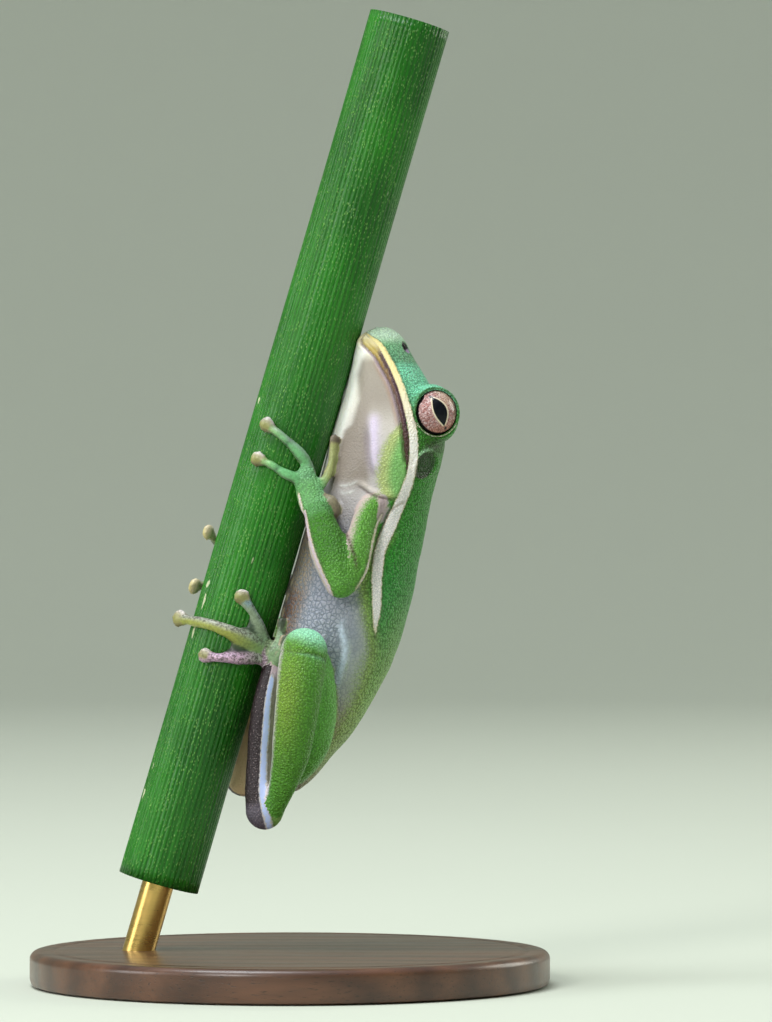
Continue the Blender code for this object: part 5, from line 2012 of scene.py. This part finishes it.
@dataclass(frozen=True)
class Reed:
    """The cut reed: a finely ribbed stem with pithy ends.

    The ends' rows are a ring's share of the radius and its distance from the cut. A scar's are its place
    round and along the stem, and its half sizes.
    """

    low: float = -29.4
    high: float = 60.3
    ribs: int = 54
    wide_ribs: int = 36
    rib_depth: float = 0.1
    samples: int = 8
    step: float = 1.2
    hollow: float = 0.18
    ends: Rows = ((0.97, 0.06), (0.9, 0.02), (0.6, 0.12), (0.3, 0.16))
    scars: Rows = (
        (10.81, 0.7, 0.3, 0.55), (10.64, -1.0, 0.2, 0.9), (10.93, -4.4, 0.22, 0.8), (11.3, -18.3, 0.2, 0.5),
        (11.7, -21.2, 0.22, 0.7), (11.4, 19.7, 0.25, 0.5), (6.36, 4.2, 0.07, 0.35),
    )  # fmt: skip

    def build(self) -> None:
        """A cylinder whose radius dips between ribs: depth times two |sin| waves of the uneven angle."""
        sides = self.ribs * self.samples
        angle = circle(sides)
        warp = 0.35 * np.sin(3 * angle + 1.0) + 0.25 * np.sin(7 * angle + 2.0)
        rib = 0.8 * np.abs(np.sin(self.ribs / 2 * angle + warp)) ** 0.7
        rib += 0.3 * np.abs(np.sin(self.wide_ribs / 2 * angle - 2 * warp)) ** 0.7 - 1.1
        u = np.linspace(self.low, self.high, int((self.high - self.low) / self.step))
        bow = 1 + 0.006 * np.sin(u / 9.0)[:, None]
        swell = 1 + 0.3 * np.sin(5 * angle + u[:, None] / 14)
        radius = np.minimum(FRAME.radius * bow + self.rib_depth * rib[None] * swell, FRAME.radius)
        share, drop = np.transpose(self.ends)
        places = np.concatenate((self.low + drop[::-1], u, self.high - drop))
        reach = np.vstack((share[::-1, None] * radius[0], radius, share[:, None] * radius[-1]))
        grid = np.stack((places[:, None] + 0 * angle, reach * np.cos(angle), reach * np.sin(angle)), axis=-1)
        made = loft(grid, (self.low + self.hollow, 0.0, 0.0), (self.high - self.hollow, 0.0, 0.0)).flipped()
        mesh = made.world_mesh("reed_stem")
        fix_normals(mesh)
        distance = np.hypot(made.points[:, 1], made.points[:, 2]) / FRAME.radius
        cut = np.ones(len(distance))
        cut[len(share) * sides : (len(share) + len(u)) * sides] = 0.0
        # How deep each point lies in a groove, where the material paints shade.
        groove = np.clip((1 - distance) / 0.02, 0.0, 1.0) * (1 - cut)
        store(mesh, {"cut": cut, "share": distance, "groove": groove})
        turn = np.arctan2(made.points[:, 2], made.points[:, 1])
        store_uv(mesh, "stem", np.column_stack((turn * FRAME.radius, made.points[:, 0])))
        piece("reed_stem", mesh, self.material(), "reed", "perch_reed")

    def material(self) -> bpy.types.Material:
        """Waxy green with ribs, painted shade in their grooves, rows of pale pores that also paint sparkle,
        flecks and a few scars; pith at the cuts.

        Returns:
            The material.
        """
        made, graph, shader = new_material("reed_green")
        upright = graph.mapped(graph.object_place(), Rotation=(0.0, -FRAME.lean, 0.0))
        stretched, streak, long_cells = (graph.mapped(upright, Scale=(1.0, 1.0, k)) for k in (0.1, 0.06, 0.5))
        tone, value = graph.uneven(stretched, 500.0, 3200.0, 0.65)
        colour = graph.mix(graph.span(graph.noise(90.0, 2.0, upright), 0.3, 0.7), "0e560a", "1f7412")
        colour = graph.mix(1.0, colour, graph.grey(tone), blend="MULTIPLY")
        lines = graph.span(graph.noise(1500.0, 2.0, streak), 0.38, 0.66)
        crowd = graph.span(graph.noise(900.0, 4.0, long_cells), 0.38, 0.66, 0.16, 0.62)
        pores = graph.span(graph.cells(4800.0, vector=long_cells), 0.15, 0.4, 1.0, 0.0)
        fleck = graph.span(graph.cells(110.0, vector=long_cells), 0.02, 0.03, 1.0, 0.0)
        # Painted shade in the grooves, streaks, pale pores that also paint sparkle, and flecks.
        layers = (
            (graph.attribute("groove"), 0.5, "123f10"), (lines, 0.2, "3f8f2c"), (pores, crowd, "86bd60"),
            (fleck, 0.6, "d9d9c4"),
        )  # fmt: skip
        for share, strength, code in layers:
            colour = graph.mix(graph.times(share, strength), colour, code)
        stem = graph.add("SeparateXYZ", {0: graph.add("UVMap", uv_map="stem").outputs[0]})
        rough_edge = graph.times(graph.less(graph.noise(1900.0, 4.0), 0.5), 2.4)
        for turn, height, half_width, half_length in self.scars:
            across = graph.math("DIVIDE", graph.less(stem.outputs[0], turn), half_width)
            along = graph.math("DIVIDE", graph.less(stem.outputs[1], height), half_length)
            mark = graph.span(graph.plus(graph.squares(across, along), rough_edge), 0.4, 0.9, 0.75, 0.0)
            colour = graph.mix(mark, colour, "d5d6b4")
        pith = graph.mix(graph.span(graph.cells(3000.0), 0.1, 0.6), "e3e0c2", "b9b78e")
        pith = graph.mix(graph.span(graph.attribute("share"), 0.8, 0.92), pith, "5f8a3c")
        colour = graph.mix(graph.span(graph.attribute("cut"), 0.4, 0.6), colour, pith)
        normal = graph.relief(graph.plus(value, graph.times(pores, 0.5)), 0.1, 0.95)
        shine = {"Roughness": 0.3, "Specular IOR Level": 0.32}
        graph.fill(shader, {"Base Color": colour, "Normal": normal, **shine})
        return made


@dataclass(frozen=True)
class Stand:
    """The display stand: a turned wooden base and a brass rod."""

    radius: float = 26.0
    thickness: float = 3.5
    rounding: float = 0.8
    groove: float = 0.12
    rod_radius: float = 1.6
    sharp: float = math.radians(50)

    def build(self, reed_low: float) -> None:
        """Makes base and rod.

        Args:
            reed_low: the place of the reed's lower cut.
        """
        pieces = ((self.base(), self.wood(), "base"), (self.rod(reed_low), self.brass(), "rod"))
        for mesh, finish, slot in pieces:
            fix_normals(mesh)
            mesh.set_sharp_from_angle(angle=self.sharp)
            piece(mesh.name, mesh, finish, slot, f"stand_{slot}")

    def base(self) -> bpy.types.Mesh:
        """A profile of radius and height turned about the upright axis.

        Returns:
            The mesh.
        """
        turn = np.radians(np.linspace(0, 90, 9))
        r, h = self.radius - self.rounding, self.thickness - self.rounding
        edge = [(r + self.rounding * math.cos(t), h + self.rounding * math.sin(t)) for t in turn]
        profile = [(r, 0.0), (r + self.rounding * 0.8, 0.25), (self.radius, self.rounding)] + edge
        profile += [(r - 1.2, self.thickness), (r - 1.5, self.thickness - self.groove)]
        profile.append((r - 1.8, self.thickness))
        profile += [(share * (r - 2.0), self.thickness) for share in (0.98, 0.75, 0.5, 0.25)]
        return turned(profile, 160, 0.0, self.thickness).mesh("base_wood", MM)

    def rod(self, reed_low: float) -> bpy.types.Mesh:
        """A round bar on the reed's axis, from inside the base's top to the reed's cut: level and circle.

        Args:
            reed_low: the place of the reed's lower cut.

        Returns:
            The mesh.
        """
        theta = circle(64)
        high = reed_low + 0.3
        low = (self.thickness - FRAME.z) / math.cos(FRAME.lean) - 0.2
        share = np.linspace(0, 1, 12)[:, None]
        tilt = math.tan(FRAME.lean) * self.rod_radius * np.cos(theta) * (1 - share)
        level = low + (high - low) * share + tilt
        ring = (self.rod_radius * np.cos(theta), self.rod_radius * np.sin(theta))
        rings = np.stack(np.broadcast_arrays(level, *ring), axis=-1)
        return loft(rings, (low, 0.0, 0.0), (high, 0.0, 0.0)).world_mesh("rod_brass")

    def wood(self) -> bpy.types.Material:
        """Dark walnut with long grain and pores under satin lacquer.

        Returns:
            The material.
        """
        made, graph, shader = new_material("walnut")
        stretched = graph.mapped(graph.object_place(), Scale=(0.12, 1.0, 1.0))
        tone, value = graph.uneven(stretched, 260.0, 1900.0, 0.8)
        wave = {"Vector": stretched, "Scale": 60.0, "Distortion": 16.0, "Detail": 4.0, "Detail Scale": 0.8}
        rings = graph.add("TexWave", wave, bands_direction="Y").outputs[1]
        colour = graph.mix(1.0, graph.mix(rings, "44291b", "5f3d2a"), graph.grey(tone), blend="MULTIPLY")
        pore = graph.span(graph.noise(5200.0, 2.0, stretched), 0.6, 0.7)
        colour = graph.mix(graph.times(pore, 0.6), colour, "1f130c")
        normal = graph.relief(graph.less(1.0, pore), 0.02, 0.5)
        rough = graph.span(value, 0.2, 0.8, 0.3, 0.46)
        coat = {"Coat Weight": 0.35, "Coat Roughness": 0.22}
        graph.fill(shader, {"Base Color": colour, "Roughness": rough, "Normal": normal, **coat})
        return made

    def brass(self) -> bpy.types.Material:
        """Brushed brass, turned marks round the rod.

        Returns:
            The material.
        """
        made, graph, shader = new_material("brass")
        upright = {"Rotation": (0.0, -FRAME.lean, 0.0), "Scale": (0.15, 0.15, 1.0)}
        squeezed = graph.mapped(graph.object_place(), **upright)
        tone, value = graph.uneven(squeezed, 800.0, 6000.0, 0.25)
        colour = graph.mix(1.0, "d6b36a", graph.grey(tone), blend="MULTIPLY")
        shine = {"Metallic": 1.0, "Roughness": graph.span(value, 0.2, 0.8, 0.22, 0.38)}
        graph.fill(shader, {"Base Color": colour, "Normal": graph.relief(value, 0.01, 0.5), **shine})
        return made


@dataclass(frozen=True)
class Light:
    """A square soft light: its place and side in metres, power in watts and colour."""

    name: str
    place: tuple[float, float, float]
    size: float
    power: float
    colour: Colour

    def build(self, aim: tuple[float, float, float]) -> None:
        """Adds the light, facing a point and unseen by the camera.

        Args:
            aim: the point that it faces.
        """
        lamp = bpy.data.lights.new(self.name, "AREA")
        lamp.size, lamp.energy, lamp.color = self.size, self.power, self.colour
        obj = link(self.name, lamp)
        obj.location = self.place
        obj.rotation_euler = (Vector(aim) - Vector(self.place)).to_track_quat("-Z", "Y").to_euler()
        obj.visible_camera = False


@dataclass(frozen=True)
class Studio:
    """Pale bowl of a floor, soft lights and the camera.

    The view's centre, the frame's height and the sensor are in millimetres, and the rest is in metres.
    """

    view_centre: tuple[float, float] = (9.6, 47.4)
    frame_height: float = 102.2
    distance: float = 0.6
    sensor: float = 24.0
    wall: float = 1.6
    middle: tuple[float, float, float] = (0.008, 0.0, 0.047)
    sky: Colour = (0.93, 0.96, 1.0)
    sky_strength: float = 0.48
    lights: tuple[Light, ...] = (
        Light("top", (-0.2, -0.15, 0.85), 0.4, 6.2, (0.93, 0.98, 1.0)),
        Light("key", (-0.4, -0.75, 0.45), 0.22, 3.4, (1.0, 0.98, 0.95)),
        Light("side", (-0.75, -0.22, 0.3), 0.3, 1.9, (1.0, 1.0, 1.0)),
        Light("rim", (0.7, 0.45, 0.35), 0.4, 2.4, (1.0, 1.0, 0.9)),
    )

    def floor(self) -> None:
        """A flat floor that curves up far out: radius and height turned about the upright axis."""
        bend = np.radians(np.linspace(0, 90, 16))
        curve = [(0.9 + 0.8 * math.sin(t), 0.8 - 0.8 * math.cos(t)) for t in bend]
        made = turned([(0.05, 0.0), (0.4, 0.0), *curve, (1.7, self.wall)], 96, 0.0, self.wall)
        inside = made.triangles[made.triangles.max(1) == len(made.points) - 2]
        mesh = build_mesh("studio_floor", made.points, [made.quads[:, ::-1], inside[:, ::-1]])
        finish, graph, shader = new_material("pale_floor")
        colour = graph.mix(graph.noise(6.0), (0.57, 0.61, 0.52), (0.59, 0.63, 0.54))
        graph.fill(shader, {"Base Color": colour, "Roughness": 0.9})
        mesh.materials.append(finish)
        link("studio_floor", mesh)

    def build(self) -> None:
        """Floor, world, lights and camera."""
        self.floor()
        scene = bpy.context.scene
        scene.world = bpy.data.worlds.new("studio")
        scene.world.use_nodes = True
        ground = scene.world.node_tree.nodes["Background"]
        ground.inputs["Color"].default_value = (*self.sky, 1.0)
        ground.inputs["Strength"].default_value = self.sky_strength
        for light in self.lights:
            light.build(self.middle)
        camera = bpy.data.cameras.new("camera")
        camera.sensor_fit = "VERTICAL"
        camera.sensor_height = self.sensor
        camera.lens = self.sensor * self.distance / (self.frame_height * MM)
        camera.clip_start = 0.01
        scene.camera = link("camera", camera)
        scene.camera.location = (self.view_centre[0] * MM, -self.distance, self.view_centre[1] * MM)
        scene.camera.rotation_euler = (math.pi / 2, 0.0, 0.0)
        scene.view_settings.view_transform = "Standard"


# Webs between toes 3 and 4 and between toes 4 and 5: numbers from 0, and the share of each toe they reach.
WEBS = ((2, 3, 0.72, 0.5), (3, 4, 0.5, 0.8))
LEFT_ARM = Limb(
    Side.LEFT,
    (
        (Kind.UPPER_ARM, (
            (13.4, 11.0, 4.6, 1.5, 1.6), (12.6, 10.1, 5.6, 1.35, 1.5), (11.1, 9.75, 6.6, 1.3, 1.4),
            (9.0, 9.8, 7.4, 1.35, 1.35), (6.6, 9.9, 7.9, 1.45, 1.4), (5.0, 9.6, 8.1, 1.4, 1.35),
        )),
        (Kind.FOREARM, (
            (4.6, 9.1, 8.3, 1.6, 1.5), (6.4, 7.8, 7.9, 1.9, 1.6), (8.2, 6.5, 7.1, 1.84, 1.5),
            (9.6, 5.55, 6.3, 1.6, 1.3), (10.5, 4.9, 5.7, 1.35, 1.1),
        )),
        (Kind.PALM, (
            (11.1, 4.35, 5.2, 1.4, 0.95), (12.2, 3.7, 4.5, 1.35, 0.85), (13.2, 3.1, 4.1, 1.2, 0.72),
            (13.9, 2.8, 4.2, 0.9, 0.6),
        )),
    ),
    Kind.FINGER,
    (
        ((12.0, 4.6, 4.6, 0.5), (12.1, 5.6, 4.9, 0.6), (11.6, 6.3, 5.1, 0.62), (10.4, 6.3, 4.9, 0.45)),
        ((12.7, 4.2, 4.1, 0.5), (14.0, 4.8, 3.9, 0.45), (15.6, 4.9, 3.7, 0.4), (18.0, 4.5, 3.5, 0.56)),
        ((13.0, 3.5, 0.68), (14.7, 2.7, 0.64), (15.9, 1.3, 0.56), (16.9, -0.7, 0.44), (17.5, -2.3, 0.8)),
        ((12.6, 3.2, 0.64), (13.2, 1.9, 0.56), (13.4, 0.6, 0.48), (13.8, -0.7, 0.4), (14.0, -2.2, 0.8)),
    ),
)  # fmt: skip
LEFT_LEG = Limb(
    Side.LEFT,
    (
        (Kind.THIGH, (
            (-14.6, 9.9, 2.7, 1.6, 1.7), (-13.2, 10.3, 4.0, 1.95, 1.95), (-11.4, 10.4, 5.2, 2.3, 2.2),
            (-9.0, 10.1, 6.3, 2.42, 2.2), (-6.6, 9.5, 7.1, 2.3, 2.0), (-4.6, 8.8, 7.8, 2.1, 1.8),
            (-3.2, 8.1, 8.3, 1.9, 1.6),
        )),
        (Kind.SHANK, (
            (-2.9, 7.6, 9.6, 2.35, 1.8), (-5.0, 7.85, 10.1, 2.32, 1.75), (-7.9, 8.35, 9.9, 2.22, 1.75),
            (-10.9, 8.85, 9.2, 2.07, 1.65), (-14.0, 9.2, 8.1, 1.75, 1.45), (-16.9, 9.2, 6.9, 1.25, 1.15),
            (-18.7, 9.1, 6.1, 1.05, 1.0),
        )),
        (Kind.TARSUS, (
            (-19.2, 8.2, 5.6, 1.95, 1.3), (-17.6, 7.35, 5.3, 1.6, 1.2), (-14.8, 6.45, 4.8, 1.4, 1.1),
            (-11.9, 5.8, 4.6, 1.38, 1.1), (-8.9, 5.2, 4.3, 1.2, 1.0), (-6.9, 5.0, 3.9, 1.05, 0.9),
            (-5.6, 4.9, 3.5, 0.9, 0.8),
        )),
        (Kind.SOLE, (
            (-5.5, 4.9, 3.45, 0.95, 0.75), (-4.5, 4.6, 3.2, 1.1, 0.7), (-3.9, 4.2, 3.3, 1.0, 0.6),
        )),
    ),
    Kind.TOE,
    (
        ((-4.8, 5.1, 3.9, 0.45), (-3.6, 5.4, 4.2, 0.4), (-2.4, 5.4, 4.5, 0.42)),
        ((-4.2, 4.5, 3.9, 0.45), (-2.5, 4.75, 3.8, 0.38), (-0.9, 4.55, 3.6, 0.46)),
        ((-4.1, 4.2, 0.6), (-2.8, 3.3, 0.56), (-1.0, 1.8, 0.48), (0.4, 0.15, 0.82)),
        (
            (-4.4, 4.3, 0.75), (-3.8, 3.0, 0.74), (-3.35, 0.8, 0.7), (-3.1, -1.9, 0.6), (-3.3, -4.0, 0.5),
            (-3.45, -5.3, 0.88),
        ),
        ((-4.9, 4.4, 0.6), (-5.1, 3.2, 0.6), (-5.6, 1.3, 0.54), (-6.0, -0.3, 0.46), (-6.2, -1.75, 0.8)),
    ),
    WEBS,
)  # fmt: skip
RIGHT_ARM = Limb(
    Side.RIGHT,
    (
        (Kind.UPPER_ARM, (
            (13.4, 11.0, 4.6, 1.5, 1.6), (12.2, 10.2, 5.8, 1.35, 1.45), (9.8, 9.9, 7.1, 1.35, 1.35),
            (6.8, 10.0, 7.8, 1.4, 1.35), (4.2, 10.1, 8.2, 1.4, 1.35),
        )),
        (Kind.FOREARM, (
            (3.6, 9.9, 8.3, 1.6, 1.5), (3.0, 8.6, 7.9, 1.8, 1.6), (2.8, 7.0, 7.1, 1.75, 1.5),
            (2.7, 5.6, 6.2, 1.5, 1.3), (2.7, 4.4, 5.4, 1.25, 1.0),
        )),
        (Kind.PALM, (
            (2.7, 4.0, 5.1, 1.15, 0.85), (2.8, 2.9, 4.65, 1.15, 0.75), (2.9, 2.0, 4.75, 1.0, 0.62),
        )),
    ),
    Kind.FINGER,
    (
        ((2.0, 3.2, 0.5), (1.3, 3.4, 0.46), (0.6, 3.4, 0.38), (-0.1, 3.3, 0.6)),
        ((3.4, 2.7, 0.5), (5.0, 2.6, 0.45), (6.8, 2.2, 0.4), (8.9, 1.7, 0.75)),
        ((3.0, 2.2, 0.62), (3.6, 0.9, 0.58), (4.1, -1.2, 0.5), (4.6, -3.6, 0.4), (5.55, -5.0, 0.85)),
        ((2.5, 2.0, 0.6), (1.9, 0.6, 0.54), (1.2, -1.4, 0.44), (0.6, -3.6, 0.38), (0.0, -4.8, 0.85)),
    ),
)  # fmt: skip
RIGHT_LEG = Limb(
    Side.RIGHT,
    (
        (Kind.THIGH, (
            (-14.6, 9.8, 2.7, 1.6, 1.7), (-13.0, 10.0, 4.1, 1.95, 1.95), (-11.0, 9.9, 5.4, 2.3, 2.2),
            (-8.2, 9.2, 6.5, 2.45, 2.2), (-5.8, 8.2, 7.3, 2.3, 2.0), (-3.7, 7.2, 7.9, 2.1, 1.8),
            (-2.2, 6.4, 8.3, 1.9, 1.6),
        )),
        (Kind.SHANK, (
            (-1.9, 6.0, 9.5, 2.3, 1.8), (-3.9, 6.2, 9.9, 2.28, 1.75), (-6.8, 6.5, 9.7, 2.2, 1.75),
            (-9.7, 6.7, 8.9, 2.05, 1.65), (-12.6, 6.6, 7.8, 1.7, 1.45), (-15.2, 6.3, 6.6, 1.25, 1.15),
            (-17.0, 5.9, 5.8, 1.0, 1.0),
        )),
        (Kind.TARSUS, (
            (-17.3, 5.2, 5.7, 1.9, 1.3), (-15.4, 4.7, 5.5, 1.5, 1.15), (-12.7, 4.1, 5.5, 1.35, 1.1),
            (-9.8, 3.6, 5.5, 1.35, 1.1), (-7.4, 3.2, 5.4, 1.15, 0.95), (-6.0, 2.9, 5.1, 0.95, 0.8),
        )),
        (Kind.SOLE, (
            (-5.9, 2.9, 5.0, 0.95, 0.75), (-4.9, 2.6, 4.7, 1.1, 0.7), (-4.3, 2.2, 4.65, 1.0, 0.6),
        )),
    ),
    Kind.TOE,
    (
        ((-4.9, 3.4, 0.45), (-3.9, 3.9, 0.4), (-3.1, 4.0, 0.5)),
        ((-4.3, 2.8, 0.5), (-3.2, 2.8, 0.44), (-2.1, 2.7, 0.65)),
        ((-4.4, 2.3, 0.6), (-3.2, 1.0, 0.56), (-2.0, -0.5, 0.46), (-0.9, -1.8, 0.8)),
        ((-4.8, 2.4, 0.75), (-4.6, 1.0, 0.7), (-4.5, -0.8, 0.6), (-4.6, -2.1, 0.5), (-4.7, -3.3, 0.8)),
        ((-5.3, 2.4, 0.6), (-6.4, 1.2, 0.58), (-7.2, 0.0, 0.5), (-7.9, -1.2, 0.8)),
    ),
    WEBS,
)  # fmt: skip


def main() -> None:
    """Builds the frog, its reed and stand, and the studio."""
    logging.basicConfig(level=logging.INFO)
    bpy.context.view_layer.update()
    eyes = (Eye(Side.LEFT), Eye(Side.RIGHT))
    Skin(Trunk(), (LEFT_ARM, RIGHT_ARM, LEFT_LEG, RIGHT_LEG), eyes).build(SkinFinish())
    iris = EyeFinish().material()
    for eye in eyes:
        side = eye.side.name.lower()
        piece(f"eyeball_{side}", eye.ball(), iris, "eye", f"eye_{side}")
    reed = Reed()
    reed.build()
    Stand().build(reed.low)
    Studio().build()


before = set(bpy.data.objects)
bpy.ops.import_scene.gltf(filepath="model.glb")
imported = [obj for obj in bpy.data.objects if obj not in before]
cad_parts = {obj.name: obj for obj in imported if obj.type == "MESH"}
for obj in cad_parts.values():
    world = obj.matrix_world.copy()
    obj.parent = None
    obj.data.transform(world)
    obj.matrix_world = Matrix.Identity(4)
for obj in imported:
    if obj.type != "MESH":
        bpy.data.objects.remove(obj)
UNEVEN = uneven_group()
GRAIN = grain_group()

if __name__ == "__main__":
    main()
